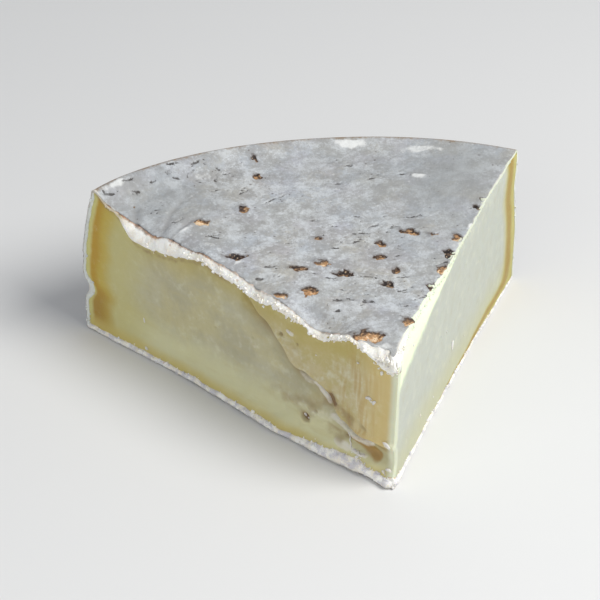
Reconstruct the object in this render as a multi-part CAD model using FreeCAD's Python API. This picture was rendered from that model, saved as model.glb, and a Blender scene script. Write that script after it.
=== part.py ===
# Wedge cut from a soft pressed cheese wheel with a natural rind, in millimetres.
#
# The wheel's axis is vertical. Two knife cuts meet at the tip, a little past the axis, and the
# wedge opens towards +Y, so that the rind side is at the back and the tip points to -Y. Its five
# faces are each one smooth surface: the flat base it rests on, the dished top, the bulging rind
# side with its mould crease, and the two cut faces. The left cut face carries the flap of paste
# that the knife dragged down near the tip, with the hollow under it.
# The origin is in the middle of the wedge's box, on the base.

import FreeCAD, Part
import math
import os

# The wheel
wheelRadius = 106.8          # at the base
sideLean = 4.2               # the rim stands in from the base by this much
sideBulge = 2.9              # how far the left of the side swells past the line from base to rim
neckDepth = 2.4              # how far the right of the side is drawn in under its rim
neckBelowRim = 10.7
neckReach = 7.5
creaseHeight = 12.9          # the crease that the mould's band leaves round the side
creaseDepth = 3.1
creaseWidth = 2.1
rimHeight = 44.7             # top of the rim above the base
rimWave = 0.5                # the rim is this much higher at the cuts and lower between them
dishDepth = 4.7              # the top's middle lies this far below the rim
rimLip = 9.0                 # width of the raised rim where the top is dished flat
leftDish = 0.15              # share of the climb from the middle that comes before that rim
rightDish = 0.35             # share of the climb on the right that is curved, not straight

# The two cuts
wedgeAngle = 69.0
tipPastAxis = 3.3            # from the wheel's axis to the line where the cuts meet

# The left cut face
footFlare = 0.5              # the rind at the foot of the cut stands out
footHeight = 4.0
bowDepth = 1.9               # the lower part of the face bows out
bowAlong = 31.0              # its middle, from the tip
bowReach = 26.0
bowHeight = 20.0
flapThickness = 2.0          # the dragged flap stands proud of the cut
flapFoot = 10.5              # its lower edge at the tip
flapRise = 0.17              # the edge climbs away from the tip at this slope
flapCurl = 0.0067            # and ever more steeply, by this much for each mm
flapStep = 4.0               # width of the step at its edge
flapReach = 52.0             # where the edge meets the rind
flapFade = 26.0              # length over which the flap thins out before that
flapAtTip = 0.4              # how far the flap has grown where it starts, at the tip
hollowDepth = 3.0            # the hollow under the flap, beside the tip
hollowAlong = 10.0
hollowReach = 9.0
hollowHeight = 7.6
hollowRise = 3.0
dipDepth = 3.4               # the top pressed down where the knife went in
dipAlong = 27.5
dipReach = 6.5
tipSag = 1.1                 # the top's edge is drawn down from the dip to the tip

# The right cut face
groundDepth = 0.7            # the blade's slight hollow along this face
shoulderDepth = 1.4          # the top edge of this face is rubbed back
shoulderHeight = 3.2

# Spacing of the points that each smooth face is drawn through
topSpacing = 5.0
roundSpacing = 4.0
alongSpacing = 3.0
upSpacing = 2.3

# Each face runs past the wedge by this much, so that its neighbours cut it cleanly
margin = 12.0

topRadius = wheelRadius - sideLean
middleHeight = rimHeight - dishDepth
halfAngle = math.radians(wedgeAngle / 2.0)
cutLength = wheelRadius + tipPastAxis
leftAlong = FreeCAD.Vector(-math.sin(halfAngle), math.cos(halfAngle), 0.0)
leftOut = FreeCAD.Vector(-math.cos(halfAngle), -math.sin(halfAngle), 0.0)
rightAlong = FreeCAD.Vector(math.sin(halfAngle), math.cos(halfAngle), 0.0)
rightOut = FreeCAD.Vector(math.cos(halfAngle), -math.sin(halfAngle), 0.0)
tip = FreeCAD.Vector(0.0, -tipPastAxis, 0.0)


def clamp(value):
    return min(1.0, max(0.0, value))


def ease(value):
    """0 below 0, 1 above 1 and a smooth rise between."""
    t = clamp(value)
    return t * t * (3.0 - 2.0 * t)


def hump(value):
    """A bell of height 1 about 0, down to about a third at 1."""
    return math.exp(-value * value)


def spread(start, end, spacing):
    """Evenly spaced numbers from start to end, no further apart than spacing."""
    steps = math.ceil((end - start) / spacing)
    return [start + (end - start) * i / steps for i in range(steps + 1)]


def leftShare(x, y):
    """0 on the right cut and 1 on the left one, by angle about the axis."""
    return clamp(0.5 - math.atan2(x, max(y, tipPastAxis)) / (2.0 * halfAngle))


def topHeight(x, y):
    """The top: dished flat inside a raised rim on the left, a steady climb to the rim on the right."""
    reach = math.hypot(x, y) / topRadius
    lip = ease(1.0 - (1.0 - reach) * topRadius / rimLip)
    dished = leftDish * ease(reach) + (1.0 - leftDish) * lip
    climbing = rightDish * ease(reach) + (1.0 - rightDish) * reach
    share = leftShare(x, y)
    rise = share * dished + (1.0 - share) * climbing
    rim = rimHeight + rimWave * math.cos(2.0 * math.pi * share)
    along = (FreeCAD.Vector(x, y, 0.0) - tip).dot(leftAlong)
    inward = max(0.0, (tip - FreeCAD.Vector(x, y, 0.0)).dot(leftOut))
    dip = dipDepth * hump((along - dipAlong) / dipReach) * hump(inward / dipReach)
    sag = tipSag * ease(1.0 - along / (2.0 * dipAlong)) * hump(inward / dipReach)
    return middleHeight + (rim - middleHeight) * rise - dip - sag


def sideRadius(x, z):
    """The rind side: it swells on the left, over the mould's crease, and is necked on the right."""
    straight = wheelRadius - sideLean * z / rimHeight
    onLeft = ease(0.5 - math.asin(x / wheelRadius) / (2.0 * halfAngle))
    swell = sideBulge * math.sin(math.pi * clamp(z / rimHeight))
    crease = creaseDepth * hump((z - creaseHeight) / creaseWidth)
    neck = neckDepth * hump((z - rimHeight + neckBelowRim) / neckReach)
    return straight + onLeft * (swell - crease) - (1.0 - onLeft) * neck


def flapEdge(along):
    """Height of the flap's lower edge."""
    return flapFoot + flapRise * along + flapCurl * along * along


def leftRelief(along, z):
    """How far the left cut face stands out of its plane."""
    low = max(0.0, z)
    foot = footFlare * hump(low / footHeight)
    bow = bowDepth * hump((along - bowAlong) / bowReach) * hump(low / bowHeight)
    over = ease((z - flapEdge(along)) / flapStep + 0.5)
    growing = ease(flapAtTip + along / flapReach)
    flap = flapThickness * over * growing * ease((flapReach - along) / flapFade)
    hollow = hollowDepth * hump((along - hollowAlong) / hollowReach) * hump((z - hollowHeight) / hollowRise)
    return foot + bow + flap - hollow


def rightRelief(along, z):
    """How far the right cut face stands out of its plane: ground hollow, with its top edge rubbed."""
    ground = groundDepth * math.sin(math.pi * clamp(along / cutLength))
    edge = tip + rightAlong * max(0.0, along)
    rubbed = clamp(1.0 - (topHeight(edge.x, edge.y) - z) / shoulderHeight)
    return -ground - shoulderDepth * rubbed * rubbed


def solidBehind(rows, sweep):
    """The solid that lies along sweep behind the smooth face through rows of points."""
    surface = Part.BSplineSurface()
    surface.interpolate(rows)
    return surface.toShape().extrude(sweep)


def topBlock():
    width = wheelRadius + margin
    rows = []
    for x in spread(-width, width, topSpacing):
        rows.append([FreeCAD.Vector(x, y, topHeight(x, y)) for y in spread(-margin, width, topSpacing)])
    return solidBehind(rows, FreeCAD.Vector(0.0, 0.0, -(rimHeight + margin)))


def sideBlock():
    halfWidth = cutLength * math.sin(halfAngle) + margin
    rows = []
    for x in spread(-halfWidth, halfWidth, roundSpacing):
        row = []
        for z in spread(-margin, rimHeight + margin, upSpacing):
            row.append(FreeCAD.Vector(x, math.sqrt(sideRadius(x, z) ** 2 - x * x), z))
        rows.append(row)
    return solidBehind(rows, FreeCAD.Vector(0.0, -2.0 * wheelRadius, 0.0))


def cutBlock(alongDirection, outDirection, relief):
    """The cheese on one side of a knife cut."""
    rows = []
    for along in spread(-margin, cutLength + margin, alongSpacing):
        row = []
        for z in spread(-margin, rimHeight + margin, upSpacing):
            point = tip + alongDirection * along + outDirection * relief(along, z)
            row.append(FreeCAD.Vector(point.x, point.y, z))
        rows.append(row)
    return solidBehind(rows, outDirection * (-2.0 * wheelRadius))


def baseBlock():
    """Everything above the flat base."""
    width = 2.0 * (wheelRadius + margin)
    return Part.makeBox(width, width, rimHeight + margin, FreeCAD.Vector(-width / 2.0, -margin, 0.0))


def cheeseWedge():
    wedge = baseBlock()
    blocks = [
        sideBlock(),
        cutBlock(leftAlong, leftOut, leftRelief),
        cutBlock(rightAlong, rightOut, rightRelief),
        topBlock(),
    ]
    for block in blocks:
        wedge = wedge.common(block)
    return wedge.Solids[0]


def standAtOrigin(shape):
    """Moves the shape so that the middle of its box's underside is the origin."""
    box = shape.optimalBoundingBox(False)
    shape.translate(FreeCAD.Vector(-(box.XMin + box.XMax) / 2.0, -(box.YMin + box.YMax) / 2.0, -box.ZMin))
    return shape


os.makedirs("parts", exist_ok=True)
wedge = standAtOrigin(cheeseWedge())
wedge.exportStep("parts/cheese_wedge.step")
box = wedge.optimalBoundingBox(False)
print("cheese_wedge", "valid", wedge.isValid(), "faces", len(wedge.Faces), "volume", round(wedge.Volume))
print("box", [round(v, 2) for v in (box.XMin, box.YMin, box.ZMin, box.XMax, box.YMax, box.ZMax)])
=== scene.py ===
import math
import bmesh
import bpy
import numpy as np
from mathutils import Matrix, Vector
from mathutils.geometry import delaunay_2d_cdt
from mathutils.kdtree import KDTree


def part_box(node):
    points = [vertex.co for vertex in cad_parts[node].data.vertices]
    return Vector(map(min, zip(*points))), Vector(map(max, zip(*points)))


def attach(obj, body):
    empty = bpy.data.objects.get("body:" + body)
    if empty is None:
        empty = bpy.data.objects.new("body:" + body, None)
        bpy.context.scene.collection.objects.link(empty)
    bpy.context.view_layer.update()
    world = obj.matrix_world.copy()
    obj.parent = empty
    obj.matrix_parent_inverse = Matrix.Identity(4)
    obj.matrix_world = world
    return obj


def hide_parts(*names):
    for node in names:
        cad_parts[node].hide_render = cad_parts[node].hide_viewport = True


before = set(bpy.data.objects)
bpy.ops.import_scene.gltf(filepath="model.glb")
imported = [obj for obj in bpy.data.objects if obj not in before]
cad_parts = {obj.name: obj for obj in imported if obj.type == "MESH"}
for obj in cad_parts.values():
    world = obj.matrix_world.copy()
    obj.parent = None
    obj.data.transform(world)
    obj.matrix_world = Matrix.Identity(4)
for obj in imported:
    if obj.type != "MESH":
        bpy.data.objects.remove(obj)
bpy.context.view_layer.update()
partLow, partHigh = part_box("cheese_wedge")

# Everything below is worked out in millimetres from the wheel's own axis, on the base.
# toPart moves it into the part's frame, in metres.

wheel = {
    "radius": 106.8,  # at the base
    "lean": 4.2,  # the rim stands in by this much
    "bulge": 2.9,
    "neck": 2.4,
    "neckBelowRim": 10.7,
    "neckReach": 7.5,
    "crease": 2.1,  # groove round the side
    "creaseHeight": 12.9,
    "creaseWidth": 2.4,
    "leftFlare": 1.4, "rightFlare": -0.7,  # how far the rim leans out again by each cut
    "rim": 44.7,
    "rimWave": 0.5,
    "dish": 4.7,  # middle of the top below the rim
    "lip": 9.0,
    "leftDish": 0.15,
    "rightDish": 0.35,
    "angle": 69.0,
    "tipBack": 3.3,  # the cuts meet this far past the axis
    # the top beside the left cut: depth, mm from the tip, half width, and how far in from the cut it runs
    "dip": 3.4, "dipAlong": 27.5, "dipWidth": 6.5, "dipReach": 3.8,
    "sag": 1.1, "sagLength": 55.0,
    "roll": 0.8, "rollAlong": 76.0, "rollWidth": 17.0, "rollReach": 2.2,
    # rises and dips of the top at the left cut: mm from the tip, half width and height
    "edgeWaves": [(14.5, 3.0, 0.6), (29.5, 4.0, 1.5), (48.0, 7.0, -1.8), (66.2, 3.6, 1.1), (78.0, 4.0, -0.3),
                  (86.4, 5.0, -2.2), (97.0, 2.5, 0.9), (103.0, 2.6, -1.1)],
    "waveReach": 4.5,
}

half = math.radians(wheel["angle"] / 2)
leftAlong = np.array([-math.sin(half), math.cos(half), 0.0])
leftOut = np.array([-math.cos(half), -math.sin(half), 0.0])
rightAlong = np.array([math.sin(half), math.cos(half), 0.0])
rightOut = np.array([math.cos(half), -math.sin(half), 0.0])
topRadius = wheel["radius"] - wheel["lean"]
axisX = (partLow.x + partHigh.x) * 500 + 0.3  # the left cut bows out, so the axis is off the middle
axisY = partHigh.y * 1000 - wheel["radius"] - 0.05


def toPart(points):
    return (np.asarray(points, float) + np.array([axisX, axisY, 0.0])) * 0.001


def ease(value):
    t = np.clip(value, 0.0, 1.0)
    return t * t * (3.0 - 2.0 * t)


def bell(value):
    return np.exp(-np.square(value))


def mix(a, b, share):
    return a + (b - a) * share


def lumps(points, size, seed):  # smooth random values from -1 to 1, with lumps about this size
    table = np.random.RandomState(seed).uniform(-1.0, 1.0, (32, 32, 32))
    spot = np.asarray(points, float) / size + 200.0
    cell = np.floor(spot).astype(int)
    part = spot - cell
    part = part * part * (3.0 - 2.0 * part)
    total = 0.0
    for corner in range(8):
        step = np.array([corner & 1, corner >> 1 & 1, corner >> 2 & 1])
        weight = np.prod(np.where(step == 1, part, 1.0 - part), axis=-1)
        at = (cell + step) % 32
        total = total + weight * table[at[..., 0], at[..., 1], at[..., 2]]
    return total


def rough(points, size, seed, layers=3):  # lumps with finer lumps on them
    total = 0.0
    for layer in range(layers):
        total = total + lumps(points, size * 0.5 ** layer, seed + layer) * 0.5 ** layer
    return total / 1.4


def flat(u, v):
    u, v = np.broadcast_arrays(np.asarray(u, float), v)
    return np.stack([u, v, np.zeros_like(u)], -1)


def alongTable(table, along):
    return np.interp(along, [row[0] for row in table], [row[1] for row in table])


def nearLine(u, v, line):  # mm to the nearest place on a line through these points
    nearest = np.full(np.shape(u), 99.0)
    for (startU, startV), (endU, endV) in zip(line, line[1:]):
        du, dv = endU - startU, endV - startV
        at = np.clip(((u - startU) * du + (v - startV) * dv) / (du ** 2 + dv ** 2), 0, 1)
        nearest = np.minimum(nearest, np.hypot(u - startU - at * du, v - startV - at * dv))
    return nearest


# The wheel's outside

def onLeftCut(x, y):  # how far along the left cut a place is, and how far in from it
    y = y + wheel["tipBack"]
    along = x * leftAlong[0] + y * leftAlong[1]
    inward = -(x * leftOut[0] + y * leftOut[1])
    return along, np.maximum(inward, 0.0)


def topHeight(x, y):
    reach = np.hypot(x, y) / topRadius
    lip = ease(1.0 - (1.0 - reach) * topRadius / wheel["lip"])
    dished = wheel["leftDish"] * ease(reach) + (1.0 - wheel["leftDish"]) * lip
    climbing = wheel["rightDish"] * ease(reach) + (1.0 - wheel["rightDish"]) * reach
    turn = np.clip(0.5 - np.arctan2(x, np.maximum(y, wheel["tipBack"])) / (2 * half), 0, 1)
    rim = wheel["rim"] + wheel["rimWave"] * np.cos(2 * math.pi * turn)
    low = wheel["rim"] - wheel["dish"]
    along, inward = onLeftCut(x, y)
    dip = wheel["dip"] * bell((along - wheel["dipAlong"]) / wheel["dipWidth"])
    dip = dip * bell(inward / wheel["dipReach"])
    sag = wheel["sag"] * ease(1.0 - along / wheel["sagLength"]) * bell(inward / wheel["dipReach"])
    roll = wheel["roll"] * bell((along - wheel["rollAlong"]) / wheel["rollWidth"])
    roll = roll * bell(inward / wheel["rollReach"])
    waves = sum(high * bell((along - at) / width) for at, width, high in wheel["edgeWaves"])
    waves = waves * bell(inward / wheel["waveReach"])
    return low + (rim - low) * mix(climbing, dished, turn) - dip - sag - roll + waves


def sideRadius(x, z):
    straight = wheel["radius"] - wheel["lean"] * z / wheel["rim"]
    onLeft = ease(0.5 - np.arcsin(np.clip(x / wheel["radius"], -1, 1)) / (2 * half))
    swell = wheel["bulge"] * np.sin(math.pi * np.clip(z / wheel["rim"], 0, 1))
    groove = wheel["crease"] * bell((z - wheel["creaseHeight"]) / wheel["creaseWidth"])
    neck = wheel["neck"] * bell((z - wheel["rim"] + wheel["neckBelowRim"]) / wheel["neckReach"])
    flare = mix(wheel["rightFlare"], wheel["leftFlare"], onLeft) * np.clip(z / wheel["rim"], 0, 1)
    return straight + flare + onLeft * (swell - groove) - (1.0 - onLeft) * neck


def reachTo(turn, z):  # from the tip to the side, in the direction turn, 0 at the left cut and 1 at the right
    angle = (turn * 2 - 1) * half
    back = wheel["tipBack"]
    reach = wheel["radius"] + back * np.cos(angle)
    for _ in range(3):
        radius = sideRadius(reach * np.sin(angle), z)
        reach = back * np.cos(angle) + np.sqrt(radius ** 2 - (back * np.sin(angle)) ** 2)
    return reach


# The two cut faces

leftCut = {
    "bow": 1.9, "bowAlong": 31.0, "bowReach": 26.0, "bowHeight": 20.0,
    "foot": 0.4, "footHeight": 4.0,
    "flap": 2.0, "flapStep": 0.8, "flapReach": 54.0, "flapFade": 20.0,
    "lipRoll": 0.55, "underCut": 1.2,
    "hollow": 2.2, "hollowAlong": 7.0, "hollowReach": 6.0, "hollowHeight": 6.9, "hollowRise": 2.4,
    # height of the flap's lip, by mm from the tip
    "flapLine": [
        (0, 11.2), (4, 11.5), (9, 11.9), (13, 12.5), (16, 13.9), (18.2, 16.6), (20, 19.2), (22, 21.2),
        (24.5, 22.2), (27, 22.4), (30, 23.1), (33, 24.6), (35.2, 26.3), (37.5, 28.1), (39.8, 29.8),
        (41.8, 31.1), (44.2, 32.3), (49, 33.9), (53, 36.0), (60, 40.0), (110, 70.0),
    ],
}
rightCut = {
    "ground": 0.7,
    "shoulder": 1.9, "shoulderHeight": 4.2, "shoulderReach": 44.0,
}


def flapEdge(along):
    wander = 0.35 * np.sin(along / 1.9) + 0.25 * np.sin(along / 1.1 + 1.0)
    return alongTable(leftCut["flapLine"], along) + wander


def leftRelief(along, z):
    c = leftCut
    low = np.maximum(z, 0.0)
    foot = c["foot"] * bell(low / c["footHeight"])
    bow = c["bow"] * bell((along - c["bowAlong"]) / c["bowReach"]) * bell(low / c["bowHeight"])
    above = z - flapEdge(along)
    fade = ease((c["flapReach"] - along) / c["flapFade"])
    step = c["flapStep"] + 2.5 * ease((12.0 - along) / 12.0)
    flap = c["flap"] * ease(above / step + 0.5) * ease(0.4 + along / c["flapReach"]) * fade
    roll = c["lipRoll"] * bell((above - 1.0) / 1.0) * fade
    under = c["underCut"] * bell((above + 0.9) / 0.9) * fade * ease((along - 4.0) / 8.0)
    hollow = c["hollow"] * bell((along - c["hollowAlong"]) / c["hollowReach"])
    hollow = hollow * bell((z - c["hollowHeight"] - 0.15 * along) / c["hollowRise"])
    return foot + bow + flap + roll - under - hollow


def rightRelief(along, z):
    c = rightCut
    ground = c["ground"] * np.sin(math.pi * np.clip(along / 110.0, 0, 1))
    edge = rightAlong[:, None] * np.ravel(along)
    top = topHeight(edge[0], edge[1] - wheel["tipBack"]).reshape(np.shape(along))
    rubbed = np.clip(1.0 - (top - z) / c["shoulderHeight"], 0, 1.3)
    return -ground - c["shoulder"] * rubbed ** 2 * (0.25 + 0.75 * ease((c["shoulderReach"] - along) / 20.0))


def sweep(turn, reach, z):  # a place in the wedge: 0 to 1 from left cut to right, mm from the tip, height
    turn, reach, z = np.broadcast_arrays(np.asarray(turn, float), reach, z)
    angle = (turn * 2 - 1) * half
    arc = reach * 2 * half
    nearTip = bell(reach / 16.0)
    zero = np.zeros_like(z)
    atLeft, atRight = leftRelief(zero, z), rightRelief(zero, z)
    # both cuts are moved along with the place where they meet
    meet = np.linalg.inv(np.array([leftOut[:2], rightOut[:2]]))
    shift = (np.stack([atLeft, atRight], -1) @ meet.T) * nearTip[..., None]
    fromLeft = (leftRelief(reach, z) - atLeft * nearTip) * (1 - turn) * bell(turn * arc / 9.0)
    fromRight = (rightRelief(reach, z) - atRight * nearTip) * turn * bell((1 - turn) * arc / 9.0)
    x = np.sin(angle) * reach + shift[..., 0]
    y = np.cos(angle) * reach + shift[..., 1] - wheel["tipBack"]
    return np.stack([x, y, z], -1) + leftOut * fromLeft[..., None] + rightOut * fromRight[..., None]


def topAt(turn, reach):  # height of the top there
    angle = (turn * 2 - 1) * half
    z = topHeight(np.sin(angle) * reach, np.cos(angle) * reach - wheel["tipBack"])
    place = sweep(turn, reach, z)
    return topHeight(place[..., 0], place[..., 1])


# The rind's broken edge, pale and crumbly, round both cuts

brokenEdge = {
    "start": 0.3,  # mm under the skin's outside
    "finer": 1.35,  # steps along it, against the skin's own
    "front": 14,
    "crumbly": 0.34,
    "fine": 0.13,
    # widths by mm from the tip
    "leftTop": [
        (0, 5.0), (4.5, 4.2), (7.5, 2.6), (11, 1.5), (14, 1.0), (17, 1.4), (22, 2.1), (25, 1.8), (28, 1.0),
        (32, 1.5), (36, 2.1), (40, 2.5), (44, 2.9), (48, 2.7), (53, 2.4), (57, 2.7), (60.5, 2.1),
        (64, 2.0), (67.5, 2.2), (71, 2.1), (74.4, 2.8), (77, 4.4), (81.5, 4.5), (85, 3.8), (89, 3.7),
        (92.5, 3.1), (94.5, 2.3), (96.5, 1.4), (98.5, 0.8), (107, 0.6),
    ],
    "leftBase": [
        (0, 2.8), (5, 2.4), (9, 3.5), (13, 4.4), (18, 4.2), (24, 3.1), (29, 2.0), (60, 1.7), (108, 1.5),
    ],
    "rightTop": [(0, 2.2), (4, 1.1), (9, 0.7), (30, 0.65), (48, 0.55), (64, 0.4), (106, 0.3)],
    "rightBase": [(0, 2.8), (8, 1.5), (20, 1.2), (60, 1.0), (108, 0.9)],
    "side": [1.1, 0.8],
    # how crumbly the left top band is, by mm from the tip
    "leftCrumbly": [
        (0, 1.0), (15, 1.0), (24, 0.9), (34, 0.7), (44, 0.45), (54, 0.35), (60, 0.8), (70, 0.7), (76, 0.22),
        (93, 0.2), (100, 0.5), (107, 1.0),
    ],
    "slant": [0.40, 0.15],  # how far the skin stands back over the top band, as a share of its width
    "backAcross": [0.95, 0.5, 0.05], "backLift": [-1.3, -1.7, -1.2],  # its hidden back, sunk in the paste
}


def topBand(side, along):
    spot = flat(along, 0.0)
    uneven = 1 + 0.20 * lumps(spot, 2.6, 150 + side) + 0.14 * lumps(spot, 0.9, 152 + side)
    return alongTable(brokenEdge["rightTop" if side else "leftTop"], along) * uneven


def baseBand(side, along):
    return alongTable(brokenEdge["rightBase" if side else "leftBase"], along)


# Meshes

class Shell:  # collects patches of points and joins the ones that share an edge
    def __init__(self, marks):
        self.points, self.faces, self.maps = [], [], []
        self.marks = {name: [] for name in marks}
        self.count = 0

    def add(self, points, marks, faces, uv):
        self.points.append(points)
        self.maps.append(uv)
        self.faces.append([np.asarray(face) + self.count for face in faces])
        for name, values in self.marks.items():
            values.append(np.broadcast_to(np.asarray(marks.get(name, 0.0), float), (len(points),)))
        self.count += len(points)

    def addGrid(self, grid, marks, uvCorner, uvSize, flip=False, wrap=False):
        rows, columns = grid.shape[:2]
        index = np.arange(rows * columns).reshape(rows, columns)
        if wrap:
            index = np.concatenate([index, index[:, :1]], 1)
        quads = np.stack([index[:-1, :-1], index[1:, :-1], index[1:, 1:], index[:-1, 1:]], -1).reshape(-1, 4)
        if flip:
            quads = quads[:, ::-1]
        u, v = np.meshgrid(np.linspace(0, 1, rows), np.linspace(0, 1, columns), indexing="ij")
        uv = np.stack([uvCorner[0] + u * uvSize[0], uvCorner[1] + v * uvSize[1]], -1).reshape(-1, 2)
        spread = {}
        for name, value in marks.items():
            spread[name] = np.broadcast_to(value, (rows, columns)).reshape(-1)
        self.add(grid.reshape(-1, 3), spread, quads, uv)

    def addCap(self, ring, marks, uv, flip):  # closes the end of a wrapped grid
        count = len(ring)
        faces = [[k, (k + 1) % count, count] for k in range(count)]
        if flip:
            faces = [face[::-1] for face in faces]
        self.add(np.vstack([ring, ring.mean(0)]), marks, faces, np.full((count + 1, 2), uv))

    def toObject(self, name, material):
        points = np.concatenate(self.points)
        uv = np.concatenate(self.maps)
        keys = np.round(points * 2000).astype(np.int64)  # points closer than 0.0005 mm are one
        _, first, same = np.unique(keys, axis=0, return_index=True, return_inverse=True)
        same = same.reshape(-1)
        faces, corners = [], []
        for batch in self.faces:
            for face in batch:
                joined = same[face].tolist()
                kept = [k for k in range(len(face)) if joined[k] != joined[k - 1]]
                if len(kept) > 2:
                    faces.append([joined[k] for k in kept])
                    corners += [int(face[k]) for k in kept]
        mesh = bpy.data.meshes.new(name)
        mesh.from_pydata(toPart(points[first]).tolist(), [], faces)
        layer = mesh.uv_layers.new(name="OFBake")
        layer.data.foreach_set("uv", uv[corners].astype(np.float32).ravel())
        for mark, parts in self.marks.items():
            values = np.concatenate(parts)[first]
            mesh.attributes.new(mark, "FLOAT", "POINT").data.foreach_set("value", values.astype(np.float32))
        mesh.polygons.foreach_set("use_smooth", np.ones(len(mesh.polygons), bool))
        mesh.materials.append(material)
        shape = bmesh.new()
        shape.from_mesh(mesh)
        bmesh.ops.recalc_face_normals(shape, faces=shape.faces)
        shape.to_mesh(mesh)
        shape.free()
        mesh.update()
        piece = bpy.data.objects.new(name, mesh)
        bpy.context.scene.collection.objects.link(piece)
        return piece


def settle(piece):  # gives a finished piece to the cheese
    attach(piece, "root")
    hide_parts("cheese_wedge")
    triangles = sum(len(face.vertices) - 2 for face in piece.data.polygons)
    print(piece.name, "has", len(piece.data.vertices), "points and", triangles, "triangles")


def inOutline(points, outline):
    inside = np.zeros(len(points), bool)
    x, y = points[:, 0], points[:, 1]
    for (startX, startY), (endX, endY) in zip(outline, np.roll(outline, -1, 0)):
        if startY != endY:
            crossing = (startY > y) != (endY > y)
            inside ^= crossing & (x < (endX - startX) * (y - startY) / (endY - startY) + startX)
    return inside


def fillOutline(outline, spacing, clear):  # an even net of triangles inside a flat outline
    outline = outline.astype(np.float32).astype(float)  # as fine as Blender's vectors
    low, high = outline.min(0), outline.max(0)
    rows = np.arange(low[1], high[1], spacing * 0.866)  # the height of an even triangle
    columns = np.arange(low[0], high[0], spacing)
    u, v = np.meshgrid(columns, rows)
    u = u + (np.arange(len(rows)) % 2)[:, None] * spacing / 2
    net = np.stack([u.ravel(), v.ravel()], -1)
    net = net[inOutline(net, outline)]
    edge = KDTree(len(outline))
    for number, spot in enumerate(outline):
        edge.insert((spot[0], spot[1], 0.0), number)
    edge.balance()
    net = net[[edge.find((spot[0], spot[1], 0.0))[2] > clear for spot in net.tolist()]]
    points = np.concatenate([outline, net])
    ring = [(k, (k + 1) % len(outline)) for k in range(len(outline))]
    made = delaunay_2d_cdt([Vector(spot) for spot in points.tolist()], ring, [], 1, 1e-6, True)
    known = [numbers[0] for numbers in made[3]]
    faces = np.array([[known[k] for k in face] for face in made[2]])
    outside = (faces < len(outline)).all(1)
    outside[outside] = ~inOutline(points[faces[outside]].mean(1), outline)
    return points, faces[~outside]


# The paste: the cheese itself, with its two cut faces

paste = {
    "alongSteps": 280,
    "upSteps": 117,
    "acrossSteps": 8,
    "inset": 0.8,  # it stops this far under the outside of the rind
    "sunk": 1.2,  # and this much further between the cuts
    "underAtTip": 2.1,
    "tipWear": 0.45,  # the sharp edge at the tip is a little blunt
    "behindBand": 0.64,  # it ends this share of the way down the broken rind
    "firstReach": 108.0, "firstTop": 43.0,  # where the search for its outline starts
    # width of the pale margin at the top of the right cut, by mm from the tip
    "margin": [(0, 11.0), (8, 9.0), (14, 7.0), (22, 5.2), (32, 3.6), (45, 1.8), (60, 0.5), (110, 0.4)],
}

# Small holes, as far along from the tip, height, radius and depth
leftEyes = [
    (36.8, 30.8, 0.55, 0.8), (31.2, 30.2, 0.4, 0.4), (28.0, 9.0, 1.1, 0.9), (24.8, 12.6, 0.6, 0.4),
    (61.0, 21.0, 0.5, 0.25), (71.0, 13.0, 0.4, 0.2), (48.0, 24.0, 0.45, 0.2), (13.0, 33.0, 0.4, 0.2),
]
# Cracks in the left cut, each with its half width, depth and stain
leftCracks = [
    ([(20.4, 20.4), (19.2, 18.6), (17.4, 17.4), (15.2, 16.5), (12.6, 15.7), (9.4, 14.7)], 0.9, 0.50, 0.72),
    ([(20.4, 20.4), (16.4, 18.0), (13.0, 15.8)], 2.6, 0.15, 0.42),
    ([(39.0, 12.5), (33.0, 12.5), (28.0, 13.5), (23.0, 15.5)], 3.6, 0.20, 0.42),
    ([(20.0, 9.4), (16.0, 8.4)], 2.4, 0.30, 0.70),
    ([(33.5, 29.5), (29.5, 27.5)], 2.6, 0.10, 0.38),
    ([(27.0, 19.0), (24.0, 17.6), (21.4, 16.2), (18.8, 13.6)], 1.3, 0.45, 0.25),
    # this one's stain is painted shade in a fold below the flap
    ([(36.0, 10.0), (31.0, 10.2), (26.0, 10.6), (21.0, 10.2), (17.0, 9.6)], 1.1, 0.35, 0.28),
    ([(20.5, 10.2), (17.0, 9.2), (14.6, 9.6)], 0.50, 0.30, 0.40),
    ([(46.0, 29.4), (41.0, 24.8), (36.0, 21.4), (31.0, 18.6)], 1.20, 0.25, 0.10),
]
leftSmears = [  # pale curd pushed along by the knife: line, half width, height and paleness
    ([(18.8, 12.8), (15.2, 11.5), (12.2, 10.6), (9.6, 10.0), (7.6, 10.0)], 1.10, 0.45, 0.7),
    ([(25.6, 20.6), (24.2, 19.9), (22.8, 19.0), (21.6, 17.8)], 1.00, 0.50, 1.0),
    ([(30.6, 20.9), (28.6, 20.4), (26.8, 19.9)], 0.90, 0.35, 0.55),
    ([(34.0, 12.4), (29.0, 12.6), (24.0, 12.4), (20.4, 11.9)], 1.30, 0.45, 0.30),
    ([(17.6, 7.0), (15.8, 6.7), (14.4, 6.2)], 1.00, 0.35, 0.8),
    ([(13.0, 6.3), (11.0, 5.9), (9.0, 5.7)], 0.75, 0.35, 0.8),
    ([(34.8, 33.0), (32.8, 32.6)], 0.50, 0.20, 0.9),
    ([(50.0, 23.0), (47.5, 22.0)], 0.90, 0.10, 0.35),
]
recess = {  # the broken place by the tip
    "line": [(13.0, 9.6), (10.5, 9.0), (8.0, 8.1), (5.6, 7.3)],
    "width": [(4, 1.4), (6, 1.9), (9, 1.6), (13, 0.7)],
}
rightEyes = [
    (30.0, 30.0, 0.5, 0.25), (38.0, 22.0, 0.6, 0.25), (72.0, 27.0, 0.5, 0.25), (58.0, 33.0, 0.4, 0.2),
]


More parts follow.
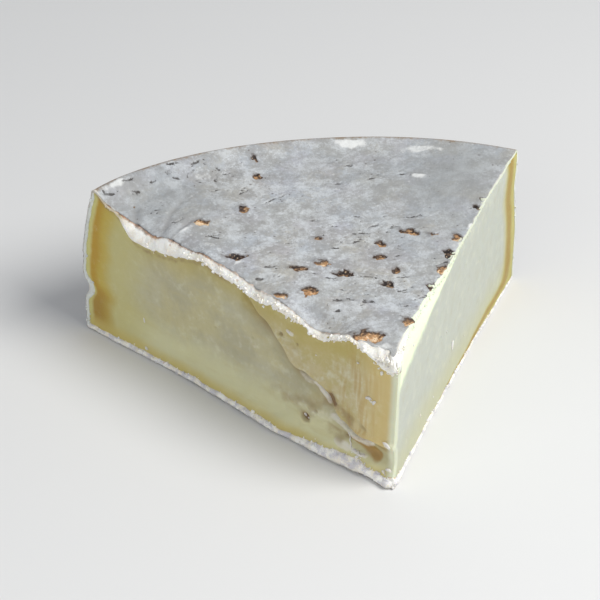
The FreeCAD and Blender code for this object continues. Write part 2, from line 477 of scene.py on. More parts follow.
def eyeDents(eyes, along, z):
    depth, stain = 0.0, 0.0
    for at, height, radius, deep in eyes:
        away = np.hypot((along - at) / 1.25, z - height) / radius
        depth = depth + deep * ease(1.35 - away) - 0.12 * bell((away - 1.3) / 0.35)
        stain = stain + bell(away / 0.95) * min(1.0, deep * 1.3)
    return depth, stain


def leftDetail(along, z):  # the finer relief of the left cut face, and where it is stained, with painted shade along one fold below the flap
    above = z - flapEdge(along)
    spot = flat(along, z)
    slope = math.radians(33)
    down = along * math.cos(slope) - z * math.sin(slope)
    over = along * math.sin(slope) + z * math.cos(slope)
    below = ease(-above / 3.0) * ease((50.0 - along) / 18.0)
    smear = lumps(flat(down / 9.0, over / 1.7), 1.0, 21)
    folds = lumps(flat(down / 16.0, over / 4.5), 1.0, 22)
    drag = lumps(flat(along / 26.0, z / 1.1), 1.0, 23)
    ribs = lumps(flat((along - 0.12 * z) / 0.75, z / 16.0), 1.0, 24)
    ribArea = ease(above / 2.0) * bell((along - 10.0) / 6.0) * ease((35.0 - z) / 8.0)
    waves = rough(spot, 14.0, 25)
    curd = rough(spot, 1.6, 26, 2)
    dents, stain = eyeDents(leftEyes, along, z)
    relief = 0.20 * below * smear + 0.6 * below * folds + 0.05 * (1 - below) * drag
    relief = relief + 0.15 * ribArea * ribs + 0.32 * waves + 0.035 * curd - dents
    bent = 0.7 * lumps(spot, 2.4, 27)
    for line, width, depth, dark in leftCracks:
        away = nearLine(along + bent, z + bent, line) / width
        relief = relief - depth * bell(away) * (0.8 + bent)
        stain = stain + dark * bell(away / 0.9) * (0.7 + 0.9 * bent)
    for line, width, height, _ in leftSmears:
        relief = relief + height * bell(nearLine(along + bent, z + bent, line) / width) * (1 + bent)
    redSpot = bell((along - 13.4) / 1.6) * bell((above - 1.6) / 1.3)
    return relief, np.clip(stain + 0.6 * redSpot, 0, 1)


def smeared(along, z):  # how pale the smears make a place of the left cut
    bent = 0.7 * lumps(flat(along, z), 2.4, 27)
    away = [(nearLine(along + bent, z + bent, line) / width, pale) for line, width, _, pale in leftSmears]
    return np.max([ease(1.6 - near) * pale for near, pale in away], axis=0)


def rightDetail(along, z):
    spot = flat(along, z)
    lean = along - 0.35 * z
    smear = lumps(flat(lean / 1.5, (z + 0.4 * along) / 17.0), 1.0, 31)
    folds = lumps(flat(lean / 5.0, (z + 0.4 * along) / 22.0), 1.0, 32)
    dents, stain = eyeDents(rightEyes, along, z)
    relief = 0.01 * smear + 0.10 * folds + 0.2 * rough(spot, 15.0, 33)
    relief = relief + 0.03 * rough(spot, 1.5, 34, 2) - dents
    return relief, np.clip(stain, 0, 1)


cuts = [  # turn, outward direction, finer relief
    (0.0, leftOut, leftDetail),
    (1.0, rightOut, rightDetail),
]


def onCut(side, reach, z, lift=0.0):  # a place on a cut face, or lifted off it
    turn, out, detail = cuts[side]
    spot = sweep(np.full(np.shape(z), turn), reach, z)
    relief = detail(reach, z)[0] * ease(reach / 1.5)
    spot = spot + out * (relief + lift)[..., None]
    spot[..., 1] += paste["tipWear"] * bell(reach / 0.9)
    return spot


def cutFace(side):
    turn, _, detail = cuts[side]
    across = np.linspace(0, 1, paste["alongSteps"] + 1)[:, None]
    across = 0.75 * across + 0.25 * across ** 2  # closer together near the tip
    up = np.linspace(0, 1, paste["upSteps"] + 1)[None, :]
    reach = across * paste["firstReach"]
    z = mix(paste["inset"], paste["firstTop"], up) + 0.0 * reach
    for _ in range(3):
        reach = across * (reachTo(np.full_like(z, turn), z) - paste["inset"])
        under = np.maximum(paste["inset"], paste["behindBand"] * topBand(side, reach))
        under = mix(paste["underAtTip"], under, ease(reach / 3.0))  # both cuts share their edge at the tip
        z = mix(paste["inset"], topAt(np.full_like(reach, turn), reach) - under, up)
    fromSide = reachTo(np.full_like(z, turn), z) - reach
    if side == 1:  # the ripe border turns the corner and runs on over the base, ever thinner
        overBase = z * (2.0 + np.maximum(0.0, 84.0 - reach) * 0.09)
        fromSide = -3.0 * np.log(np.exp(-fromSide / 3.0) + np.exp(-overBase / 3.0))
    inRecess = nearLine(reach, z, recess["line"]) / alongTable(recess["width"], reach)
    fromTop = topAt(np.full_like(reach, turn), reach) - z
    flap = np.full_like(z, -12.0)
    if side == 0:
        flap = np.clip(mix(-12.0, z - flapEdge(reach), ease((56.0 - reach) / 5.0)), -12, 12)
    # just under the broken rind band: partly the paste's own brown tint, partly painted shadow of the band
    bandShadeAndTint = bell((fromTop - topBand(side, reach) - 0.7) / 0.6) * ease((reach - 50) / 10)
    marks = {
        "fromSide": fromSide,
        "fromTop": fromTop,
        "fromBase": z,
        "fromTip": reach,
        "stain": detail(reach, z)[1],
        "onRight": np.full_like(z, turn),
        "flap": flap,
        "recess": ease(1.5 - inRecess) * (1 - turn),
        "smear": smeared(reach, z) * (1 - turn),
        "margin": ease(1.4 - fromTop / alongTable(paste["margin"], reach)) * turn,
        "bandShadeAndTint": bandShadeAndTint * (1 - turn),
    }
    return onCut(side, reach, z), marks


def buildPaste(material):
    left, leftMarks = cutFace(0)
    right, rightMarks = cutFace(1)
    shell = Shell(leftMarks)
    shell.addGrid(left, leftMarks, (0.01, 0.01), (0.98, 0.40))
    shell.addGrid(right, rightMarks, (0.01, 0.43), (0.98, 0.40), flip=True)
    rows = paste["upSteps"] + 1
    down, up = -paste["sunk"], paste["sunk"]
    hidden = [  # top, base and side, under the rind
        (left[:, -1], right[:, -1], down, False, 0.85),
        (left[:, 0], right[:, 0], up, True, 0.90),
        (left[-1, :], right[-1, :], np.linspace(up, down, rows)[:, None], True, 0.95),
    ]
    turn = np.linspace(0, 1, paste["acrossSteps"] + 1)[None, :]
    tip = np.array([0.0, -wheel["tipBack"]])
    for atLeft, atRight, shift, flip, uvRow in hidden:
        grid = mix(atLeft[:, None, :], atRight[:, None, :], turn[..., None])
        # between the cuts it swings out on the wheel's round, well inside the rind
        ends = [np.linalg.norm(edge[:, :2] - tip, axis=-1)[:, None] for edge in (atLeft, atRight)]
        length = np.maximum(np.linalg.norm(grid[..., :2] - tip, axis=-1), 1e-6)
        between = ease(8 * turn * (1 - turn)) * ease(mix(*ends, turn) / 6.0)
        reach = mix(*ends, turn) - paste["sunk"] * between
        grid[..., :2] = tip + (grid[..., :2] - tip) * mix(1.0, reach / length, between)[..., None]
        grid[..., 2] += shift * between
        shell.addGrid(grid, {name: 5.0 for name in leftMarks}, (0.01, uvRow), (0.98, 0.03), flip=flip)
    return shell.toObject("paste", material)


# The rind's grey skin, over the top, the side and the base

rind = {
    "skin": 0.55,  # thickness
    "rimRound": 1.4,
    "footRound": 1.1,
    "footLevel": 0.5,  # height at which the foot's width is measured
    "split": 0.18,  # share of a round at which the top or the base hands over to the side
    "topNet": 0.365, "sideNet": 0.52, "baseNet": 0.95, "innerNet": 3.5,
    "topSteps": 260, "sideSteps": 96, "baseSteps": 150, "roundSteps": 3, "arcSteps": 290,
    "raggedEdge": 0.22,
    "overhang": 0.12,
    "standBack": 104.0,  # up to here from the tip the skin stands back from the cuts
}

# Blisters where the grey mould is gone: across, away from the tip, half length, half width,
# degrees turned, and tone from 0 almost black over brown to 1 orange
topSpots = [
    (-34.5, 70.5, 2.4, 1.8, -20, 1.2), (-22.0, 75.0, 1.1, 2.2, 0, 0.5), (-14.5, 91.0, 1.0, 1.4, 0, 0.5),
    (-13.5, 99.0, 0.9, 1.1, 0, 0.4), (-29.0, 52.5, 2.8, 1.2, -14, 0.2), (-8.0, 44.5, 1.9, 1.6, -14, 1.0),
    (-14.5, 43.0, 2.5, 1.0, -14, 0.5), (-4.0, 38.0, 2.5, 1.3, -24, 0.3), (-22.0, 33.5, 1.9, 1.1, -30, 0.9),
    (-14.5, 32.5, 2.2, 1.6, -14, 0.8), (9.0, 49.5, 1.7, 1.4, -40, 0.6), (7.0, 43.5, 1.8, 1.3, -14, 0.55),
    (9.5, 36.5, 1.2, 1.5, -14, 0.55), (5.5, 31.0, 1.8, 1.3, -30, 0.25), (17.5, 53.0, 2.9, 1.1, -38, 0.65),
    (23.0, 50.0, 1.2, 0.6, -14, 0.8), (24.5, 40.5, 1.6, 2.1, -14, 0.08), (21.0, 33.5, 1.7, 2.0, -14, 0.9),
    (15.5, 26.5, 1.5, 2.1, -14, 0.2), (6.0, 13.5, 2.1, 1.9, -14, 0.72), (-5.0, 10.5, 4.2, 1.8, -20, 0.88),
    (39.0, 59.5, 1.0, 0.8, -14, 0.1), (41.0, 62.5, 0.9, 0.7, -14, 0.15), (13.5, 16.0, 0.9, 1.1, -14, 0.9),
    (-6.0, 56.0, 1.3, 0.8, -14, 0.6), (29.0, 47.0, 1.3, 1.6, -14, 1.0),
]
# Slits and dark dashes, the same way without a tone
topSlits = [
    (-12.5, 78.5, 4.1, 0.40, 26), (-22.0, 46.0, 1.8, 0.45, -14), (-8.0, 37.5, 1.6, 0.45, -14),
    (-19.0, 38.0, 3.2, 0.25, -14), (-8.5, 27.0, 1.6, 0.40, -30), (-4.8, 26.3, 0.9, 0.35, -14),
    (-1.5, 25.0, 1.7, 0.75, -10), (-1.2, 28.2, 0.9, 0.35, -14), (10.5, 33.3, 2.4, 0.35, -6),
    (9.5, 58.5, 1.8, 0.45, 6), (6.2, 56.0, 1.3, 0.35, -14), (19.5, 60.0, 2.6, 0.30, -16),
    (6.0, 82.0, 1.2, 0.45, -10), (11.0, 90.5, 1.2, 0.50, -14), (15.5, 82.0, 1.4, 0.45, 6),
    (24.0, 82.0, 1.2, 0.45, -14), (3.5, 56.5, 1.0, 0.35, -14), (-3.0, 51.0, 1.3, 0.35, -14),
    (-5.0, 65.0, 1.3, 0.45, -14), (-0.5, 61.0, 1.1, 0.35, -14), (6.5, 64.0, 1.1, 0.35, -20),
    (-25.0, 42.5, 1.2, 0.40, -14), (-50.5, 91.0, 2.0, 0.45, 26), (-48.5, 88.0, 1.4, 0.40, 5),
    (-37.0, 97.5, 1.9, 0.45, 10), (-30.0, 98.5, 1.8, 0.45, 28), (-12.0, 40.5, 2.6, 0.30, -16),
    (0.5, 36.0, 2.2, 0.35, -24), (-5.0, 30.0, 0.9, 0.35, 10), (21.5, 36.5, 1.6, 0.40, 20),
    (-24.0, 61.0, 1.2, 0.30, -14), (13.0, 46.0, 1.1, 0.30, -30), (-56.2, 86.4, 1.8, 0.50, 8),
    (7.5, 20.5, 1.1, 0.35, -14), (12.0, 23.0, 0.9, 0.35, 20), (-10.0, 23.5, 1.1, 0.35, -24),
    (-33.0, 63.0, 1.6, 0.30, -35), (-40.0, 73.0, 1.8, 0.28, 40), (-44.5, 80.0, 0.7, 0.40, 0),
    (-38.2, 95.0, 1.5, 0.45, 50), (-36.6, 93.2, 1.0, 0.35, -30), (-24.6, 96.4, 1.4, 0.35, -35),
    (-25.8, 92.0, 1.6, 0.35, 75), (-22.4, 94.2, 1.2, 0.35, 10), (-27.0, 86.5, 1.5, 0.25, 20),
    (-19.5, 84.0, 2.2, 0.28, 30), (-43.5, 91.5, 1.2, 0.35, 30), (1.5, 52.5, 1.6, 0.35, -20),
    (8.5, 27.5, 1.5, 0.35, 5), (14.5, 56.5, 1.4, 0.35, -20), (-14.5, 55.5, 1.4, 0.30, -14),
]
# White bloom, the same way with its strength
topBloom = [
    (14.0, 101.0, 4.0, 1.8, -10, 1.0), (33.0, 93.5, 6.0, 1.8, -14, 0.75), (28.5, 80.0, 2.0, 1.4, -14, 1.0),
    (34.0, 51.5, 1.1, 1.7, -30, 1.0), (30.0, 44.0, 2.0, 1.6, 40, 0.7), (-40.0, 67.5, 4.6, 0.7, 32, 0.9),
    (-29.5, 50.0, 1.9, 0.6, 40, 0.9), (-54.2, 89.2, 4.4, 1.2, 32, 1.0), (-29.0, 93.8, 2.3, 1.7, 0, 0.5),
    (-34.5, 59.5, 2.6, 0.9, -40, 0.6), (9.0, 7.5, 3.0, 1.6, 50, 0.7), (-4.0, 6.5, 4.4, 1.2, -25, 0.8),
    (18.0, 24.0, 3.6, 1.0, 62, 0.6), (-26.0, 48.0, 4.0, 1.6, -14, 0.35), (16.5, 104.0, 2.4, 0.9, 0, 0.8),
]
# Folds in the skin, from one end to the other, and depth
topFolds = [
    (-49.0, 84.0, -52.0, 74.5, 0.32), (-37.0, 84.0, -46.0, 68.0, 0.30), (-32.0, 75.0, -41.5, 68.5, 0.36),
    (-47.0, 88.0, -48.5, 77.0, -0.18), (-35.0, 72.5, -42.0, 66.0, -0.26), (-26.0, 70.0, -36.0, 66.5, 0.20),
]
ringSpot = (-29.5, 93.6, 3.3)  # a thin broken ring
# Duller grey there: across, away from the tip, reach and strength
dullPlaces = [
    (-43.0, 84.0, 17.0, 0.7), (33.0, 72.0, 17.0, 0.95), (8.0, 97.0, 15.0, 0.25), (1.0, 11.0, 7.0, 0.25),
    (20.0, 48.0, 12.0, 0.3), (44.0, 90.0, 14.0, 0.6),
]


def turnedInto(u, v, spot):
    at, away, longHalf, wideHalf, degrees = spot[:5]
    c, s = math.cos(math.radians(degrees)), math.sin(math.radians(degrees))
    du, dv = u - at, v - away
    return (du * c + dv * s) / longHalf, (dv * c - du * s) / wideHalf


def withSmallOnes(spots, each, seed):  # a few tiny dark nicks about each mark
    pick = np.random.RandomState(seed)
    made = []
    for spot in spots:
        for _ in range(each):
            size = pick.uniform(0.2, 0.75)
            far = pick.normal(0, 1, 2) * (2.6, 1.6) + (0.5, 0.0)
            wideHalf, degrees = pick.uniform(0.14, 0.28), pick.uniform(-40, 12)
            made.append((spot[0] + far[0], spot[1] + far[1], size, wideHalf, degrees))
    return made


def insideSpots(u, v, spots, warp, seed):  # mm inside the nearest spot, its tone, and which side of it
    ragged = flat(u, v)
    u = u + warp * lumps(ragged, 1.5, seed) + 0.5 * warp * lumps(ragged, 0.7, seed + 1)
    v = v + warp * lumps(ragged, 1.5, seed + 2) + 0.5 * warp * lumps(ragged, 0.7, seed + 3)
    inside, tone, farSide = np.full(u.shape, -2.0), np.zeros(u.shape), np.zeros(u.shape)
    for spot in spots:
        across, up = turnedInto(u, v, spot)
        away = np.hypot(across, up)
        depth = (1.0 - away) * min(spot[2], spot[3])
        nearer = depth > inside
        inside = np.where(nearer, depth, inside)
        tone = np.where(nearer, spot[5] if len(spot) > 5 else 0.0, tone)
        farSide = np.where(nearer, (up - 0.3 * across) / np.maximum(away, 0.3), farSide)
    return np.clip(inside, -2.0, 2.0), tone, farSide


def scatter(count, across, up, longest, seed):  # spots for the sides that are less worn
    pick = np.random.RandomState(seed)
    spots = []
    for _ in range(count):
        size = pick.uniform(0.35, 1.0) ** 2 * longest
        spots.append((
            pick.uniform(*across), pick.uniform(*up), size, size * pick.uniform(0.45, 0.85),
            pick.uniform(-35, 35), pick.choice([0.15, 0.3, 0.5, 0.65, 0.85]),
        ))
    return spots


topNicks = topSlits + withSmallOnes(topSpots[5:] + topSlits, 3, 40)
sideSpots = scatter(46, (-63, 63), (3, 42), 2.6, 41)
sideSlits = scatter(60, (-64, 64), (2, 43), 1.5, 42)
sideBloom = scatter(26, (-63, 63), (3, 42), 5.5, 43)
baseSpots = scatter(34, (-56, 56), (8, 104), 2.8, 44)
baseSlits = scatter(60, (-56, 56), (5, 105), 1.6, 45)
baseBloom = scatter(30, (-56, 56), (5, 105), 7.0, 46)


def skinLook(u, v, spots, slits, bloom, seed):  # relief of the skin in mm, and the marks that its finish uses
    spot = flat(u, v)
    inside, tone, farSide = insideSpots(u, v, spots, 0.75, seed)
    slit = insideSpots(u, v, slits, 0.3, seed + 5)[0]
    pale = np.zeros(u.shape)
    for patch in bloom:
        across, up = turnedInto(u, v, patch)
        share = ease(1.35 - np.hypot(across, up) + 0.5 * lumps(spot, 1.8, seed + 9))
        pale = np.maximum(pale, share * min(patch[5], 1.0))
    relief = 0.30 * rough(spot, 17.0, seed + 10) + 0.11 * rough(spot, 4.5, seed + 13, 2)
    relief = relief + 0.05 * rough(spot, 1.4, seed + 15, 2)
    torn = ease((inside + 0.1) / 0.4)
    relief = relief - 0.36 * torn * (0.7 + 0.7 * lumps(spot, 0.9, seed + 17))
    relief = relief + 0.24 * bell((inside + 0.25) / 0.28) * ease(0.35 + farSide)
    relief = relief - 0.26 * ease((slit + 0.12) / 0.3) + 0.08 * bell((slit + 0.35) / 0.25) + 0.10 * pale
    marks = {"spot": inside, "tone": tone, "farSide": farSide, "slit": slit, "bloom": pale}
    return relief, marks


def topLook(x, y):
    v = y + wheel["tipBack"]
    relief, marks = skinLook(x, v, topSpots, topNicks, topBloom, 50)
    fold = np.zeros(np.shape(x))
    bent = 1.2 * lumps(flat(x, v), 7.0, 77)
    for startX, startY, endX, endY, depth in topFolds:
        along = np.array([endX - startX, endY - startY])
        length = np.hypot(*along)
        along = along / length
        at = (x - startX) * along[0] + (v - startY) * along[1]
        off = (x - startX) * along[1] - (v - startY) * along[0] + bent
        fade = ease(at / 3.0 + 0.5) * ease((length - at) / 3.0 + 0.5)
        relief = relief - depth * bell(off / 1.0) * fade
        fold = np.maximum(fold, bell(off / 0.55) * fade * ease(depth / 0.3))
    ring = np.hypot(x - ringSpot[0], (v - ringSpot[1]) * 1.25) + 0.7 * lumps(flat(x, v), 2.2, 78)
    gaps = 0.8 * ease(0.35 + 1.2 * lumps(flat(x, v), 2.0, 79))
    marks["slit"] = np.maximum(marks["slit"], 0.50 - gaps - np.abs(ring - ringSpot[2]))
    marks["fold"] = fold
    dull = sum(amount * bell(np.hypot(x - at, v - away) / reach) for at, away, reach, amount in dullPlaces)
    marks["dull"] = np.clip(dull, 0, 1)
    return relief, marks


def sideLook(arc, z):
    return skinLook(arc, z, sideSpots, sideSlits, sideBloom, 90)


def baseLook(x, y):
    return skinLook(x, y, baseSpots, baseSlits, baseBloom, 130)


def roundOff(distance, radius):  # how far a rounded edge lies below its corner's flat side
    short = np.clip(radius - distance, 0.0, radius)
    return radius - np.sqrt(radius ** 2 - short ** 2)


def skinTop(x, y, depth=0.0):
    edge = sideRadius(x, wheel["rim"]) - np.hypot(x, y)
    relief = topLook(x, y)[0] * ease((edge - 0.4) / 1.5)
    radius = rind["rimRound"] - depth
    return topHeight(x, y) + relief - depth - roundOff(edge - depth, radius)


def skinSide(arc, z, depth=0.0):  # distance from the axis, for mm round the wheel and height
    angle = arc / wheel["radius"]
    x, y = np.sin(angle) * topRadius, np.cos(angle) * topRadius
    below, above = topHeight(x, y) - z, z
    relief = sideLook(arc, z)[0] * ease((below - 0.8) / 1.8) * ease((above - 0.6) / 1.5)
    radius = sideRadius(np.sin(angle) * wheel["radius"], z) + 1.3 * relief - depth
    radius = radius - roundOff(below - depth, rind["rimRound"] - depth)
    return radius - roundOff(above - depth, rind["footRound"] - depth)


def skinBase(x, y, depth=0.0):
    edge = sideRadius(x, rind["footLevel"]) - np.hypot(x, y)
    hollow = 0.45 * np.maximum(baseLook(x, y)[0] + 0.1, 0.0) * ease((edge - 0.4) / 1.5)
    return hollow + depth + roundOff(edge - depth, rind["footRound"] - depth)


def cutPath(side, depth, step=1.0):  # reach and height round a cut, from the tip over the rim and back
    turn = cuts[side][0]
    rim, foot = rind["rimRound"] - depth, rind["footRound"] - depth
    lastTurn = math.asin(1 - rind["split"])
    rimReach = reachTo(turn, wheel["rim"]) - rind["rimRound"]
    footReach = reachTo(turn, rind["footLevel"]) - rind["footRound"]
    round3 = np.linspace(0, lastTurn, rind["roundSteps"] + 1)[1:]
    topReach = np.linspace(0, rimReach, int(rind["topSteps"] * step) + 1)
    topReach = np.concatenate([topReach, rimReach + rim * np.sin(round3)])
    baseReach = np.linspace(0, footReach, int(rind["baseSteps"] * step) + 1)
    baseReach = np.concatenate([baseReach, footReach + foot * np.sin(round3)])[::-1]
    at = sweep(np.full_like(topReach, turn), topReach, topAt(np.full_like(topReach, turn), topReach))
    topZ = skinTop(at[:, 0], at[:, 1], depth)
    at = sweep(np.full_like(baseReach, turn), baseReach, np.zeros_like(baseReach))
    baseZ = skinBase(at[:, 0], at[:, 1], depth)
    sideZ = np.linspace(topZ[-1], baseZ[0], int(rind["sideSteps"] * step) + 1)[1:-1]
    angle = (turn * 2 - 1) * half
    edgeAngle = angle * (1 - wheel["tipBack"] / wheel["radius"])
    radius = skinSide(np.full_like(sideZ, edgeAngle * wheel["radius"]), sideZ, depth)
    back = wheel["tipBack"]
    sideReach = back * math.cos(angle) + np.sqrt(radius ** 2 - (back * math.sin(angle)) ** 2)
    reach = np.concatenate([topReach, sideReach, baseReach])
    z = np.concatenate([topZ, sideZ, baseZ])
    return reach, z, len(topReach), len(sideReach)


def skinEdge(side, depth):  # the skin's own edge there, a little ragged and standing over the cut
    reach, z, onTop, onSide = cutPath(side, depth)
    edge = onCut(side, reach, z)
    ragged = rind["overhang"] * (1 - side) + rind["raggedEdge"] * rough(edge, 1.3, 61 + side, 2)
    back = np.zeros_like(reach)
    back[:onTop] = brokenEdge["slant"][side] * topBand(side, reach[:onTop])
    back[:onTop] *= ease((rind["standBack"] - reach[:onTop]) / 3)
    edge = edge + cuts[side][1] * ((ragged - back) * ease(reach / 3.0))[:, None]
    edge[:onTop - rind["roundSteps"], 2] = skinTop(*edge[:onTop - rind["roundSteps"], :2].T, depth)
    top, sideways, base = edge[:onTop], edge[onTop - 1:onTop + onSide + 1], edge[onTop + onSide:]
    return edge, top, sideways, base


def arcPoints(first, last, toPoint):  # from one cut to the other along a rim
    start, end = math.atan2(first[0], first[1]), math.atan2(last[0], last[1])
    angle = np.linspace(start, end, rind["arcSteps"] + 1)
    rim = toPoint(angle)
    rim[0], rim[-1] = first, last
    return rim


def onRound(angle, depth, size, height, skin):  # where the side hands over to the top or to the base
    out = depth + rind["split"] * (size - depth)
    radius = sideRadius(np.sin(angle) * wheel["radius"], height) - out
    x, y = np.sin(angle) * radius, np.cos(angle) * radius
    return np.stack([x, y, skin(x, y, depth)], -1)


def fromCuts(points):  # mm in from the nearer cut
    x, y, z = points[:, 0], points[:, 1] + wheel["tipBack"], points[:, 2]
    left = -(x * leftOut[0] + y * leftOut[1]) + leftRelief(x * leftAlong[0] + y * leftAlong[1], z)
    right = -(x * rightOut[0] + y * rightOut[1]) + rightRelief(x * rightAlong[0] + y * rightAlong[1], z)
    return np.clip(np.minimum(left, right), 0.0, 20.0)


def addPatch(shell, edges, toFlat, toPoint, look, net, where, uv, outward):
    edge = np.concatenate([line[:-1] for line in edges])
    outline = toFlat(edge)
    spots, faces = fillOutline(outline, net, 0.55 * net)
    points = toPoint(spots[:, 0], spots[:, 1])
    points[:len(edge)] = edge
    corner = spots[faces]
    area = np.cross(corner[:, 1] - corner[:, 0], corner[:, 2] - corner[:, 0])
    faces = np.where((area > 0)[:, None] == outward, faces, faces[:, ::-1])
    marks = look(spots[:, 0], spots[:, 1])[1]
    fromRim = topHeight(points[:, 0], points[:, 1]) - points[:, 2]
    if where == 0:
        fromRim = sideRadius(points[:, 0], wheel["rim"]) - np.hypot(points[:, 0], points[:, 1])
    marks.update({"fromCut": fromCuts(points), "fromRim": np.clip(fromRim, 0, 20), "where": where})
    low, corner, scale, turned = spots.min(0), np.array(uv[:2]), uv[2], uv[3]
    flatUv = (spots - low) * scale
    if turned:
        flatUv = flatUv[:, ::-1]
    shell.add(points, marks, faces, flatUv + corner)


def buildRind(material):
    shell = Shell(["spot", "tone", "farSide", "slit", "bloom", "fold", "dull", "fromCut", "fromRim", "where"])
    loops = []
    for depth in (0.0, rind["skin"]):
        inner = depth > 0
        left, leftTop, leftSide, leftBase = skinEdge(0, depth)
        right, rightTop, rightSide, rightBase = skinEdge(1, depth)
        # both ends of the edge are shared, at the tip
        right[0], rightTop[0] = left[0], left[0]
        right[-1], rightBase[-1] = left[-1], left[-1]
        toRim = lambda angle: onRound(angle, depth, rind["rimRound"], wheel["rim"], skinTop)
        toFoot = lambda angle: onRound(angle, depth, rind["footRound"], rind["footLevel"], skinBase)
        rim = arcPoints(leftTop[-1], rightTop[-1], toRim)
        foot = arcPoints(leftBase[0], rightBase[0], toFoot)
        nets = [rind["innerNet"]] * 3 if inner else [rind["topNet"], rind["sideNet"], rind["baseNet"]]
        size = 0.2 if inner else 1.0
        fromTop = lambda points: points[:, :2]
        topPoint = lambda x, y: np.stack([x, y, skinTop(x, y, depth)], -1)
        basePoint = lambda x, y: np.stack([x, y, skinBase(x, y, depth)], -1)
        fromSide = lambda points: np.stack(
            [np.arctan2(points[:, 0], points[:, 1]) * wheel["radius"], points[:, 2]], -1)

        def sidePoint(arc, z):
            radius, angle = skinSide(arc, z, depth), arc / wheel["radius"]
            return np.stack([np.sin(angle) * radius, np.cos(angle) * radius, z], -1)

        # place on the flat map: its corner, its scale for each mm, and whether it lies on its side
        mapTop = (0.62, 0.44, 0.0047 * size, False) if inner else (0.01, 0.01, 0.0047, False)
        mapSide = (0.76, 0.44, 0.0073 * size, False) if inner else (0.01, 0.56, 0.0073, False)
        mapBase = (0.62, 0.91, 0.0033 * size, True) if inner else (0.61, 0.01, 0.0033, True)
        top = [leftTop, rim, rightTop[::-1]]
        sides = [rim, rightSide, foot[::-1], leftSide[::-1]]
        base = [leftBase, rightBase[::-1], foot[::-1]]
        addPatch(shell, top, fromTop, topPoint, topLook, nets[0], 0, mapTop, not inner)
        addPatch(shell, sides, fromSide, sidePoint, sideLook, nets[1], 1, mapSide, inner)
        addPatch(shell, base, fromTop, basePoint, baseLook, nets[2], 2, mapBase, inner)
        loops.append(np.concatenate([left, right[::-1]]))
    counts = [len(leftTop), len(leftSide) - 2, len(leftBase)]
    counts += [len(rightBase), len(rightSide) - 2, len(rightTop)]
    where = np.repeat([0.0, 1.0, 2.0, 2.0, 1.0, 0.0], counts)[:, None]
    strip = np.stack(loops, 1)
    stripMarks = {"tone": 0.3, "spot": -2.0, "slit": -2.0, "fromRim": 20.0, "where": where}
    shell.addGrid(strip, stripMarks, (0.01, 0.92), (0.6, 0.02), flip=True)
    return shell.toObject("rind", material)


def edgeBand(side):  # the band's outline on the cut: place, inward direction, width, part and roughness
    reach, z, onTop, onSide = cutPath(side, brokenEdge["start"], brokenEdge["finer"])
    part = np.concatenate([np.zeros(onTop), np.ones(onSide), np.full(len(reach) - onTop - onSide, 2.0)])
    dReach, dZ = np.gradient(reach), np.gradient(z)
    length = np.maximum(np.hypot(dReach, dZ), 1e-6)
    inward = np.stack([dZ / length, -dReach / length], -1)
    blur = np.hanning(13)[1:-1]
    blur = blur / blur.sum()
    padded = np.pad(inward, ((5, 5), (0, 0)), mode="edge")
    inward = np.stack([np.convolve(padded[:, k], blur, "valid") for k in range(2)], -1)
    inward = inward / np.linalg.norm(inward, axis=-1)[:, None]
    width = np.where(part == 0, topBand(side, reach), brokenEdge["side"][side])
    inCrease = 0.9 * (1 - side) * bell((z - wheel["creaseHeight"]) / 3.0)
    width = np.where(part == 1, width * (1 + inCrease), width)
    width = np.where(part == 2, baseBand(side, reach), width)
    spot = flat(reach, z)
    uneven = 1 + 0.22 * lumps(spot, 2.6, 154 + side) + 0.14 * lumps(spot, 0.9, 156 + side)
    width = width * np.where(part == 0, 1.0, uneven)
    padded = np.pad(width, 2, mode="edge")
    width = np.convolve(padded, [0.1, 0.2, 0.4, 0.2, 0.1], "valid")
    crumbly = np.clip(0.45 + 0.4 * np.sin(reach / 9.0 + part * 2) + 0.5 * ease((14 - reach) / 10), 0.25, 1.0)
    if side == 0:
        crumbly = np.where(part == 0, alongTable(brokenEdge["leftCrumbly"], reach), crumbly)
    return reach, z, inward, width, part, crumbly


